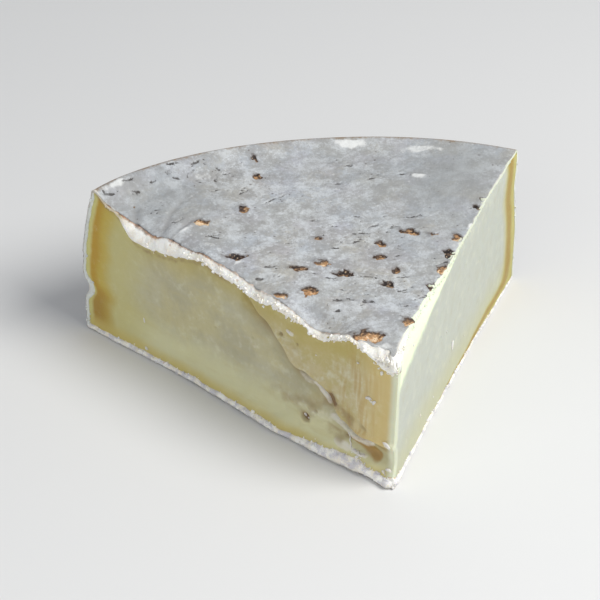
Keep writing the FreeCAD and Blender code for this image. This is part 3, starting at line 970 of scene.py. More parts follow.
def buildBrokenEdge(side, name, material):
    reach, z, inward, width, part, crumbly = edgeBand(side)
    front = np.linspace(0, 1, brokenEdge["front"])
    across = np.concatenate([front, brokenEdge["backAcross"]])
    lift = np.concatenate([np.full_like(front, np.nan), brokenEdge["backLift"]])
    isFront = np.isnan(lift)[None, :]
    at = reach[:, None] + inward[:, :1] * width[:, None] * across
    up = np.maximum(z[:, None] + inward[:, 1:] * width[:, None] * across, 0.05)
    base = onCut(side, at, up)
    onTop = np.convolve(np.pad(part == 0, 5, mode="edge"), np.full(11, 1 / 11), "valid")[:, None]
    onBase = np.convolve(np.pad(part == 2, 5, mode="edge"), np.full(11, 1 / 11), "valid")[:, None]
    wide = width[:, None]
    # over the top it slants out and down from the skin; under the base it swells like a lip
    standBack = brokenEdge["slant"][side] * wide * ease(reach / 3.0)[:, None]
    slanted = mix(-standBack, 0.2 * wide, across ** 0.75) + 0.1 * wide * np.sin(across * math.pi)
    edge = onCut(side, reach, z)
    behind = edge - cuts[side][1] * standBack
    climb = topHeight(behind[:, 0], behind[:, 1]) - topHeight(edge[:, 0], edge[:, 1])
    if side == 0:
        flush = (0.26 + 0.34 * lumps(edge, 1.7, 166)) * ease((66 - reach) / 8)
    else:
        flush = 0.24 + 0.30 * lumps(edge, 1.7, 166)
    base[..., 2] += onTop * (np.maximum(climb, 0.0) + flush)[:, None] * (1 - across) ** 1.5 * isFront
    swollen = np.clip((0.18 + 0.20 * onBase) * wide, 0.15, 0.95)
    swollen = swollen * np.sin(np.clip(across * 1.15, 0, 1) * math.pi) ** 0.7
    swell = onTop * slanted + (1 - onTop) * swollen + 0.08
    swell = swell - (0.6 + 0.3 * wide * onTop) * across ** 10
    grit = brokenEdge["crumbly"] * rough(base, 1.5, 160 + side)
    grit = grit + brokenEdge["fine"] * rough(base, 0.55, 164 + side, 2)
    grit = grit * crumbly[:, None] * ease(0.25 + across * 3.0) * np.clip(0.5 + 0.25 * wide, 0.5, 1.1)
    grit = grit * (1 - 0.6 * across ** 6) + 0.22 * onTop * wide / 4 * rough(base, 3.2, 168 + side, 2)
    out = np.where(isFront, swell + grit, np.nan_to_num(lift)[None, :])
    grid = base + cuts[side][1] * out[..., None]
    marks = {
        "across": np.clip(across, 0, 1)[None, :] + 0 * at,
        "along": reach[:, None] + 0 * at,
        "part": part[:, None] + 0 * at,
        "relief": np.where(isFront, grit, 0.0),
        "onRight": np.full_like(at, float(side)),
    }
    shell = Shell(marks)
    shell.addGrid(grid, marks, (0.01, 0.01), (0.98, 0.5), flip=side == 0, wrap=True)
    for row, flip in ((0, side == 0), (-1, side == 1)):
        capMarks = {key: np.append(value[row], value[row].mean()) for key, value in marks.items()}
        shell.addCap(grid[row], capMarks, 0.6, flip)
    return shell.toObject(name, material)


# Crumbs of rind along the broken edges, and bits of curd left on the cuts by the knife

crumbs = {
    "count": 950,
    "least": 0.16,
    "most": 0.62,
    "seed": 7,
    "curdSeed": 9,
}
# where crumbs gather, by mm from the tip, for each cut and its top, side and base
crumbPlaces = {
    (0, 0): [
        (0, 7.0), (10, 5.0), (14, 2.0), (22, 1.5), (32, 2.5), (45, 2.6), (60, 1.8), (72, 0.7),
        (95, 0.3), (106, 0.6),
    ],
    (0, 1): [(0, 0.7), (110, 0.7)],
    (0, 2): [(0, 3.0), (12, 3.2), (26, 2.0), (50, 1.2), (108, 0.9)],
    (1, 0): [(0, 5.0), (7, 2.5), (12, 1.0), (24, 1.6), (40, 1.8), (62, 1.2), (75, 0.4), (106, 0.3)],
    (1, 1): [(0, 0.3), (110, 0.3)],
    (1, 2): [(0, 2.0), (12, 1.0), (108, 0.6)],
}
# Bits of curd: cut, mm from the tip, height, half length, half width, thickness, degrees turned and whiteness
bits = [
    (0, 34.0, 32.8, 0.45, 0.26, 0.16, -24, 0.9),
    (0, 87.8, 11.4, 0.75, 0.26, 0.12, 70, 0.9), (0, 86.8, 2.9, 0.60, 0.45, 0.24, 20, 0.9),
    (0, 29.0, 9.4, 0.70, 0.35, 0.24, 50, 0.8),
    (0, 27.6, 8.9, 0.40, 0.25, 0.20, 0, 0.7), (0, 8.6, 24.1, 1.00, 0.42, 0.20, -14, 0.8),
    (0, 7.0, 23.5, 0.80, 0.45, 0.22, -60, 0.8), (0, 7.9, 23.5, 0.70, 0.35, 0.18, 10, 0.6),
    (0, 1.9, 13.2, 1.30, 0.60, 0.40, 20, 0.9),
    (0, 1.8, 4.8, 0.80, 0.55, 0.45, 0, 0.8), (0, 3.2, 3.8, 0.55, 0.40, 0.35, 20, 0.7),
    (0, 12.2, 33.0, 0.30, 0.25, 0.20, 0, 0.9), (0, 25.0, 29.8, 0.22, 0.18, 0.12, 0, 0.8),
    (1, 49.5, 13.0, 1.55, 0.60, 0.25, 78, 1.0), (1, 43.0, 21.0, 0.35, 0.25, 0.15, 60, 0.8),
    (1, 22.0, 8.0, 0.40, 0.30, 0.20, 30, 0.8), (1, 61.0, 9.0, 0.30, 0.22, 0.15, 0, 0.9),
    (1, 12.0, 36.0, 0.45, 0.30, 0.22, 20, 1.0), (1, 34.0, 6.0, 0.30, 0.25, 0.15, 0, 0.8),
]
# Strips of curd pushed along by the knife: cut, points on it, half width, thickness, lift and whiteness
shavings = [
    (0, [(14.6, 11.0), (14.1, 9.6), (13.6, 8.2), (12.9, 6.6)], 0.14, 0.12, 0.40, 0.9),
    (0, [(12.6, 6.2), (11.2, 6.1), (10.0, 5.8), (9.0, 5.9)], 0.40, 0.24, 0.20, 0.8),
]


def ball():  # points and faces of a small round lump
    shape = bmesh.new()
    bmesh.ops.create_icosphere(shape, subdivisions=2, radius=1.0)
    points = np.array([point.co[:] for point in shape.verts])
    faces = np.array([[point.index for point in face.verts] for face in shape.faces])
    shape.free()
    return points, faces


ballPoints, ballFaces = ball()


def addLump(shell, middle, axes, size, marks, pick):  # axes are three directions, size three half widths
    moved = ballPoints + pick.uniform(-60, 60, 3)
    ragged = 1 + 0.40 * lumps(moved, 0.75, 171) + 0.22 * lumps(moved, 0.36, 174)
    points = middle + ((ballPoints * ragged[:, None]) * size) @ axes
    low = points[:, 2].min()
    points[:, 2] += max(0.0, 0.02 - low)
    corner = pick.uniform(0.02, 0.94, 2)
    shell.add(points, marks, ballFaces, corner + (ballPoints[:, :2] + 1) * 0.018)


def anyAxes(pick):
    axes = np.linalg.qr(pick.normal(size=(3, 3)))[0]
    return axes * np.sign(np.linalg.det(axes))


def buildCrumbs(material):
    pick = np.random.RandomState(crumbs["seed"])
    shell = Shell(["across", "along", "part", "relief", "onRight"])
    places = []
    for side in (0, 1):
        reach, z, inward, width, part, _ = edgeBand(side)
        step = np.hypot(np.gradient(reach), np.gradient(z))
        weight = sum((part == k) * alongTable(crumbPlaces[(side, k)], reach) for k in range(3)) * step
        places.append((reach, z, inward, width, part, weight))
    share = places[0][-1].sum() / (places[0][-1].sum() + places[1][-1].sum())
    for _ in range(crumbs["count"]):
        side = int(pick.uniform() > share)
        reach, z, inward, width, part, weight = places[side]
        k = pick.choice(len(reach), p=weight / weight.sum())
        across = pick.uniform(0.02, 1.0) ** 0.8 * (1.25 if pick.uniform() < 0.2 else 1.0)
        at = np.array([reach[k] + inward[k, 0] * width[k] * across])
        up = np.maximum(np.array([z[k] + inward[k, 1] * width[k] * across]), 0.15)
        size = mix(crumbs["least"], crumbs["most"], pick.uniform() ** 2.2)
        size = min(size, 0.18 + 0.28 * width[k])
        swell = 0.16 * width[k] * math.sin(min(across * 1.15, 1) * math.pi) if across < 0.87 else -0.05
        middle = onCut(side, at, up, swell + size * pick.uniform(-0.1, 0.45))[0]
        sizes = size * np.array([1.0, pick.uniform(0.6, 0.95), pick.uniform(0.45, 0.8)])
        marks = {"across": min(across, 0.7) * 0.8 + 0.1, "along": reach[k], "part": part[k],
                 "relief": 0.25, "onRight": side}
        addLump(shell, middle, anyAxes(pick), sizes, marks, pick)
    return shell.toObject("rindCrumbs", material)


def faceAxes(side, degrees):  # directions lying in a cut and out of it
    along, out = (leftAlong, leftOut) if side == 0 else (rightAlong, rightOut)
    up = np.array([0.0, 0.0, 1.0])
    c, s = math.cos(math.radians(degrees)), math.sin(math.radians(degrees))
    return np.array([along * c + up * s, up * c - along * s, out])


def addShaving(shell, side, line, halfWidth, thick, lift, white, pick):
    steps = np.linspace(0, 1, 19)
    given = np.linspace(0, 1, len(line))
    along = np.interp(steps, given, [spot[0] for spot in line])
    height = np.interp(steps, given, [spot[1] for spot in line])
    direction = np.stack([np.gradient(along), np.gradient(height)], -1)
    direction = direction / np.linalg.norm(direction, axis=-1)[:, None]
    round8 = np.linspace(0, 2 * math.pi, 11)[:-1]
    taper = np.sqrt(np.clip(1 - (2 * steps - 1) ** 4, 0.02, 1))
    shift = pick.uniform(0, 50)
    upper = 1 + 0.7 * lumps(flat(steps * 7.0 + shift, 0.0), 1.0, 172)
    lower = 1 + 0.7 * lumps(flat(steps * 7.0 + shift, 9.0), 1.0, 172)
    across = np.cos(round8)
    across = (halfWidth * taper)[:, None] * across * np.where(across > 0, upper[:, None], lower[:, None])
    out = thick * taper[:, None] * np.sin(round8) + lift * np.sin(math.pi * steps)[:, None]
    at = along[:, None] - direction[:, 1:] * across
    up = np.maximum(height[:, None] + direction[:, :1] * across, 0.1)
    grid = onCut(side, at, up, out)
    grid = grid + 0.12 * np.stack([lumps(grid, 1.1, 173 + k) for k in range(3)], -1)
    marks = {"white": white}
    shell.addGrid(grid, marks, (0.02, pick.uniform(0.02, 0.9)), (0.4, 0.05), wrap=True)
    shell.addCap(grid[0], marks, 0.97, False)
    shell.addCap(grid[-1], marks, 0.97, True)


def buildCurdBits(material):
    pick = np.random.RandomState(crumbs["curdSeed"])
    shell = Shell(["white"])
    for side, along, height, longHalf, wideHalf, thick, degrees, white in bits:
        middle = onCut(side, np.array([along]), np.array([height]), 0.3 * thick)[0]
        sizes = np.array([longHalf, wideHalf, thick])
        addLump(shell, middle, faceAxes(side, degrees), sizes, {"white": white}, pick)
    for side, line, halfWidth, thick, lift, white in shavings:
        addShaving(shell, side, line, halfWidth, thick, lift, white, pick)
    return shell.toObject("curdBits", material)


# Finishes

def tint(red, green, blue):  # a colour as seen, from 0 to 255, for Blender
    values = [value / 255 for value in (red, green, blue)]
    return tuple(v / 12.92 if v < 0.04045 else ((v + 0.055) / 1.055) ** 2.4 for v in values) + (1.0,)


class Graph:  # short ways to add nodes and join them
    def __init__(self, tree):
        self.tree = tree

    def join(self, socket, value):
        if isinstance(value, bpy.types.NodeSocket):
            self.tree.links.new(value, socket)
        elif value is not None:
            socket.default_value = value

    def math(self, operation, a, b=None, clamp=False):
        node = self.tree.nodes.new("ShaderNodeMath")
        node.operation = operation
        node.use_clamp = clamp
        self.join(node.inputs[0], a)
        self.join(node.inputs[1], b)
        return node.outputs[0]

    def add(self, a, b):
        return self.math("ADD", a, b)

    def times(self, a, b):
        return self.math("MULTIPLY", a, b)

    def wobble(self, value, noise, amount):  # value plus noise about its middle
        return self.add(value, self.times(self.math("SUBTRACT", noise, 0.5), amount))

    def rise(self, value, low, high, top=1.0):  # 0 up to low, then smoothly to top at high
        node = self.tree.nodes.new("ShaderNodeMapRange")
        node.interpolation_type = "SMOOTHSTEP"
        self.join(node.inputs["Value"], value)
        node.inputs["From Min"].default_value = low
        node.inputs["From Max"].default_value = high
        node.inputs["To Min"].default_value = 0.0
        node.inputs["To Max"].default_value = top
        return node.outputs[0]

    def fall(self, value, low, high, top=1.0):
        node = self.rise(value, low, high, top).node
        node.inputs["To Min"].default_value = top
        node.inputs["To Max"].default_value = 0.0
        return node.outputs[0]

    def blend(self, share, a, b):
        node = self.tree.nodes.new("ShaderNodeMix")
        node.data_type = "RGBA"
        self.join(node.inputs["Factor"], share)
        self.join(node.inputs[6], a)
        self.join(node.inputs[7], b)
        return node.outputs[2]

    def noise(self, vector, size, detail=2.0, rough=0.5, shift=0.0):  # 0 to 1, with lumps of this size in mm
        node = self.tree.nodes.new("ShaderNodeTexNoise")
        node.noise_dimensions = "4D"
        node.normalize = True
        self.join(node.inputs["Vector"], vector)
        node.inputs["W"].default_value = shift
        node.inputs["Detail"].default_value = detail
        node.inputs["Roughness"].default_value = rough
        if isinstance(size, bpy.types.NodeSocket):
            self.join(node.inputs["Scale"], self.math("DIVIDE", 1.0, size))
        else:
            node.inputs["Scale"].default_value = 1.0 / size
        return node.outputs[0]

    def mark(self, name):
        node = self.tree.nodes.new("ShaderNodeAttribute")
        node.attribute_name = name
        return node.outputs["Fac"]

    def millimetres(self):  # place on the object, in mm
        place = self.tree.nodes.new("ShaderNodeTexCoord")
        scaled = self.tree.nodes.new("ShaderNodeVectorMath")
        scaled.operation = "SCALE"
        scaled.inputs["Scale"].default_value = 1000.0
        self.join(scaled.inputs[0], place.outputs["Object"])
        return scaled.outputs[0]

    def stretched(self, vector, turned, stretch):  # for streaks: turned by these radians, then drawn out
        node = self.tree.nodes.new("ShaderNodeMapping")
        self.join(node.inputs["Vector"], vector)
        node.inputs["Rotation"].default_value = turned
        node.inputs["Scale"].default_value = stretch
        return node.outputs[0]

    def group(self, group, **values):
        node = self.tree.nodes.new("ShaderNodeGroup")
        node.node_tree = group
        for name, value in values.items():
            self.join(node.inputs[name], value)
        return node

    def patches(self, spot, size, ragged, level, shift):
        return self.group(mottle, Vector=spot, Size=size, Ragged=ragged, Level=level, Shift=shift).outputs[0]

    def dots(self, spot, spacing, share, dot):
        return self.group(specks, Vector=spot, Spacing=spacing, Share=share, Dot=dot).outputs[0]

    def bump(self, height, distance):
        node = self.tree.nodes.new("ShaderNodeBump")
        node.inputs["Distance"].default_value = distance
        self.join(node.inputs["Height"], height)
        return node.outputs[0]


class Layers:  # tints laid one over another, each where its mask says
    def __init__(self, graph, tints, first):
        self.graph, self.tints, self.colour = graph, tints, first

    def lay(self, share, name, where=None):
        share = share if where is None else self.graph.times(share, where)
        self.colour = self.graph.blend(share, self.colour, self.tints[name])


def newGroup(name, values, outputs):  # a node group that takes a place and these values
    group = bpy.data.node_groups.new(name, "ShaderNodeTree")
    group.interface.new_socket("Vector", in_out="INPUT", socket_type="NodeSocketVector")
    for socketName, value in values.items():
        socket = group.interface.new_socket(socketName, in_out="INPUT", socket_type="NodeSocketFloat")
        socket.default_value = value
    for socketName in outputs:
        group.interface.new_socket(socketName, in_out="OUTPUT", socket_type="NodeSocketFloat")
    start = group.nodes.new("NodeGroupInput")
    end = group.nodes.new("NodeGroupOutput")
    return group, Graph(group), start.outputs, end.inputs


def makeMottle():  # soft patches with ragged borders
    group, graph, given, made = newGroup(
        "mottle", {"Size": 10.0, "Ragged": 0.3, "Level": 0.5, "Shift": 0.0}, ["Mask"])
    moved = graph.tree.nodes.new("ShaderNodeVectorMath")
    moved.operation = "ADD"
    graph.join(moved.inputs[0], given["Vector"])
    graph.join(moved.inputs[1], given["Shift"])
    broad = graph.noise(moved.outputs[0], given["Size"], 1.0, 0.4)
    fine = graph.noise(moved.outputs[0], graph.times(given["Size"], 0.12), 3.0, 0.6)
    value = graph.add(broad, graph.times(graph.math("SUBTRACT", fine, 0.5), given["Ragged"]))
    value = graph.math("SUBTRACT", value, given["Level"])
    graph.join(made["Mask"], graph.rise(value, -0.09, 0.11))
    return group


def makeSpecks():  # small uneven dots, one to a cell, and only some of them
    group, graph, given, made = newGroup(
        "specks", {"Spacing": 1.5, "Share": 0.3, "Dot": 0.3}, ["Mask"])
    bent = graph.tree.nodes.new("ShaderNodeTexNoise")
    graph.join(bent.inputs["Vector"], given["Vector"])
    bent.inputs["Scale"].default_value = 1.6
    shifted = graph.tree.nodes.new("ShaderNodeVectorMath")
    shifted.operation = "MULTIPLY_ADD"
    graph.join(shifted.inputs[0], bent.outputs["Color"])
    shifted.inputs[1].default_value = (0.9, 0.9, 0.9)
    graph.join(shifted.inputs[2], given["Vector"])
    cells = graph.tree.nodes.new("ShaderNodeTexVoronoi")
    graph.join(cells.inputs["Vector"], shifted.outputs[0])
    graph.join(cells.inputs["Scale"], graph.math("DIVIDE", 1.0, given["Spacing"]))
    parts = graph.tree.nodes.new("ShaderNodeSeparateColor")
    graph.join(parts.inputs[0], cells.outputs["Color"])
    size = graph.times(given["Dot"], graph.add(parts.outputs[1], 0.35))
    inside = graph.math("SUBTRACT", size, cells.outputs["Distance"])
    chosen = graph.math("LESS_THAN", parts.outputs[0], given["Share"])
    graph.join(made["Mask"], graph.times(graph.rise(inside, -0.04, 0.08), chosen))
    return group


def makeGrain():  # fine uneven surface: height for a bump and a matching shade
    group, graph, given, made = newGroup(
        "grain", {"Size": 1.0, "Fuzz": 0.3}, ["Height", "Shade"])
    coarse = graph.noise(given["Vector"], given["Size"], 4.0, 0.55)
    fuzz = graph.noise(given["Vector"], graph.times(given["Size"], 0.22), 2.0, 0.6, 3.0)
    graph.join(made["Height"], graph.add(coarse, graph.times(fuzz, given["Fuzz"])))
    graph.join(made["Shade"], coarse)
    return group


mottle, specks, grain = makeMottle(), makeSpecks(), makeGrain()


def newFinish(name, roughness, softness=0.0):
    material = bpy.data.materials.new(name)
    material.use_nodes = True
    shader = material.node_tree.nodes["Principled BSDF"]
    shader.inputs["Roughness"].default_value = roughness
    if softness:
        shader.inputs["Subsurface Weight"].default_value = softness
        shader.inputs["Subsurface Radius"].default_value = (1.0, 0.75, 0.4)
        shader.inputs["Subsurface Scale"].default_value = 0.0022  # light goes about 2 mm in
    return material, Graph(material.node_tree), shader.inputs


pasteColours = {
    "left": tint(186, 182, 155), "right": tint(184, 188, 176),
    "green": tint(192, 182, 130), "grey": tint(174, 169, 142), "low": tint(210, 207, 164),
    "golden": tint(190, 165, 62), "ochre": tint(182, 143, 36), "ochreLow": tint(164, 130, 54),
    "rim": tint(206, 202, 132), "ripe": tint(194, 186, 124),
    "topTint": tint(182, 165, 84), "baseTint": tint(200, 182, 106), "rightBase": tint(188, 187, 150),
    "tipTint": tint(212, 189, 126), "apex": tint(214, 218, 192), "margin": tint(241, 255, 213),
    "flap": tint(194, 181, 138), "flapShadeAndMottle": tint(164, 155, 118), "flapLine": tint(112, 90, 56),
    # flapShadeAndMottle is painted shade under the flap, also used as a mottling tone; flapLine is partly
    # stain and partly painted crease shadow
    "flapOlive": tint(178, 164, 100), "rib": tint(176, 146, 88),
    "recess": tint(164, 130, 68), "stain": tint(112, 80, 46), "dark": tint(148, 124, 80),
    "rightBand": tint(158, 128, 44), "rightRim": tint(182, 172, 92), "pale": tint(210, 208, 186),
    "smear": tint(218, 214, 202),
}


def pasteFinish():
    c = pasteColours
    material, graph, shader = newFinish("paste", 0.46, 0.25)
    spot = graph.millimetres()
    onRight, fromSide, fromTop = graph.mark("onRight"), graph.mark("fromSide"), graph.mark("fromTop")
    fromBase, fromTip, flap = graph.mark("fromBase"), graph.mark("fromTip"), graph.mark("flap")
    onLeft = graph.math("SUBTRACT", 1.0, onRight)
    soft = graph.noise(spot, 9.0, 3.0, 0.5)
    fuzzy = graph.noise(spot, 2.8, 3.0, 0.6, 21.0)
    ribs = graph.noise(graph.stretched(spot, (0.0, 0.0, 0.0), (1.0, 1.0, 0.1)), 0.9, 2.0, 0.5, 33.0)
    streaks = graph.noise(graph.stretched(spot, (0.0, 0.0, 0.0), (0.25, 0.25, 1.0)), 2.2, 3.0, 0.55, 5.0)
    layers = Layers(graph, c, graph.blend(onRight, c["left"], c["right"]))
    green = graph.patches(spot, 22.0, 0.15, 0.52, 31.0)
    layers.lay(graph.times(green, 0.6), "green", onLeft)
    grey = graph.patches(spot, 12.0, 0.25, 0.50, 57.0)
    layers.lay(graph.times(grey, 0.75), "grey", onLeft)
    layers.lay(graph.rise(fuzzy, 0.48, 0.74, 0.35), "pale")
    layers.lay(graph.fall(fuzzy, 0.28, 0.50, 0.3), "grey", onRight)
    # the flap's painted-shade colour, used here only as random darker mottling
    layers.lay(graph.fall(fuzzy, 0.28, 0.50, 0.3), "flapShadeAndMottle", onLeft)
    low = graph.wobble(fromBase, soft, 7.0)
    layers.lay(graph.fall(low, 7.0, 17.0, 0.9), "low", onLeft)
    layers.lay(graph.fall(low, 3.0, 16.0, 0.8), "rightBase", onRight)
    layers.lay(graph.rise(streaks, 0.45, 0.8, 0.45), "green", onLeft)
    # the flap of the left cut, painted shade under it, and its lip
    # painted shade: olive colour over the paste below the flap's lip
    nearFlap = graph.wobble(flap, soft, 3.0)
    layers.lay(graph.rise(nearFlap, -9.0, -1.0, 0.8), "flapShadeAndMottle")
    onFlap = graph.rise(flap, -0.3, 1.0)
    layers.lay(graph.times(onFlap, 0.9), "flap")
    olive = graph.patches(spot, 7.0, 0.5, 0.50, 43.0)
    layers.lay(graph.times(olive, 0.55), "flapOlive", onFlap)
    layers.lay(graph.rise(fuzzy, 0.45, 0.70, 0.5), "pale", onFlap)
    nearTip = graph.times(graph.rise(fromTip, 2.0, 6.0), graph.fall(fromTip, 12.0, 22.0))
    layers.lay(graph.times(graph.rise(ribs, 0.45, 0.65, 0.7), nearTip), "rib", onFlap)
    # painted shade: darker colour just below the flap's lip, away from the tip
    shaded = graph.times(graph.rise(nearFlap, -5.0, -0.8, 0.6), graph.fall(flap, -0.3, 0.5))
    layers.lay(graph.times(shaded, graph.rise(fromTip, 14.0, 24.0)), "dark")
    # the dark line along the flap's lip: partly brown stain, partly painted shadow of the crease under the
    # lip
    creaseShadeAndStain = graph.times(graph.rise(flap, -1.9, -0.5), graph.fall(flap, -0.1, 0.6))
    layers.lay(graph.times(creaseShadeAndStain, graph.rise(fuzzy, 0.2, 0.5, 0.95)), "flapLine")
    # ripened, darker paste under the rind, wider at the outside of the left cut
    top = graph.wobble(fromTop, soft, 3.0)
    layers.lay(graph.fall(top, 3.0, 11.0, 0.65), "topTint", onLeft)
    side = graph.wobble(fromSide, soft, 4.0)
    layers.lay(graph.fall(side, 13.0, 30.0, 0.85), "ripe", onLeft)
    layers.lay(graph.fall(side, 6.5, 12.5, 0.9), "golden", onLeft)
    layers.lay(graph.fall(side, 4.2, 7.5, 0.9), "ochre", onLeft)
    lowSide = graph.times(graph.fall(side, 5.0, 12.0, 0.8), graph.fall(fromBase, 9.0, 17.0))
    layers.lay(lowSide, "ochreLow", onLeft)
    layers.lay(graph.fall(graph.wobble(fromSide, fuzzy, 1.2), 2.2, 3.6, 0.85), "rim", onLeft)
    rightSide = graph.wobble(fromSide, soft, 2.0)
    layers.lay(graph.fall(rightSide, 7.0, 13.0, 0.95), "rightRim", onRight)
    band = graph.times(graph.rise(rightSide, 2.6, 5.6), graph.fall(rightSide, 7.0, 10.0))
    layers.lay(graph.times(band, 0.9), "rightBand", onRight)
    base = graph.wobble(fromBase, soft, 2.0)
    layers.lay(graph.fall(base, 2.0, 6.0, 0.85), "baseTint", onLeft)
    # under the broken rind band: painted shadow, partly the paste's own tint
    layers.lay(graph.times(graph.mark("bandShadeAndTint"), graph.rise(fuzzy, 0.3, 0.6, 0.75)), "dark")
    tip = graph.fall(graph.wobble(fromTip, soft, 4.0), 3.0, 15.0, 0.8)
    tip = graph.times(tip, graph.rise(fromBase, 8.0, 14.0))
    layers.lay(tip, "tipTint", onLeft)
    layers.lay(graph.rise(graph.wobble(graph.mark("recess"), fuzzy, 0.8), 0.1, 1.0, 0.95), "recess")
    layers.lay(graph.rise(graph.wobble(graph.mark("margin"), fuzzy, 0.5), 0.0, 0.7), "margin")
    layers.lay(graph.fall(fromTip, 1.0, 3.0, 0.9), "apex")
    smear = graph.wobble(graph.mark("smear"), fuzzy, 0.8)
    smear = graph.wobble(smear, graph.noise(spot, 0.9, 2.0, 0.6, 12.0), 0.7)
    layers.lay(graph.rise(smear, 0.1, 1.1, 0.95), "smear")
    # stains, and along one fold below the flap painted shade
    stain = graph.wobble(graph.mark("stain"), graph.noise(spot, 1.3, 3.0, 0.6), 0.35)
    layers.lay(graph.rise(stain, 0.15, 0.6, 0.55), "dark")
    layers.lay(graph.rise(stain, 0.6, 0.95, 0.8), "stain")
    dots = graph.dots(spot, 5.5, 0.25, 0.06)
    layers.lay(graph.times(dots, 0.6), "dark")
    graph.join(shader["Base Color"], layers.colour)
    graph.join(shader["Roughness"], graph.add(0.38, graph.times(soft, 0.2)))
    fine = graph.group(grain, Vector=spot, Size=1.6, Fuzz=0.35)
    height = graph.add(fine.outputs["Height"], graph.times(streaks, onLeft))
    graph.join(shader["Normal"], graph.bump(height, 0.00014))
    return material


rindColours = {
    "cool": tint(173, 178, 183), "grey": tint(176, 178, 176), "warm": tint(177, 173, 162),
    "lilac": tint(178, 176, 183), "light": tint(206, 210, 212), "shade": tint(150, 149, 147),
    "bloom": tint(228, 229, 226), "dull": tint(146, 149, 149), "dark": tint(36, 27, 24),
    "brown": tint(96, 72, 54), "tan": tint(160, 126, 90), "orange": tint(190, 142, 96),
    "pale": tint(228, 200, 164), "slit": tint(66, 61, 58), "outline": tint(78, 64, 58),
    "edge": tint(112, 88, 70), "sideBrown": tint(140, 118, 92), "edgePale": tint(222, 218, 208),
    "crust": tint(70, 48, 34),
}


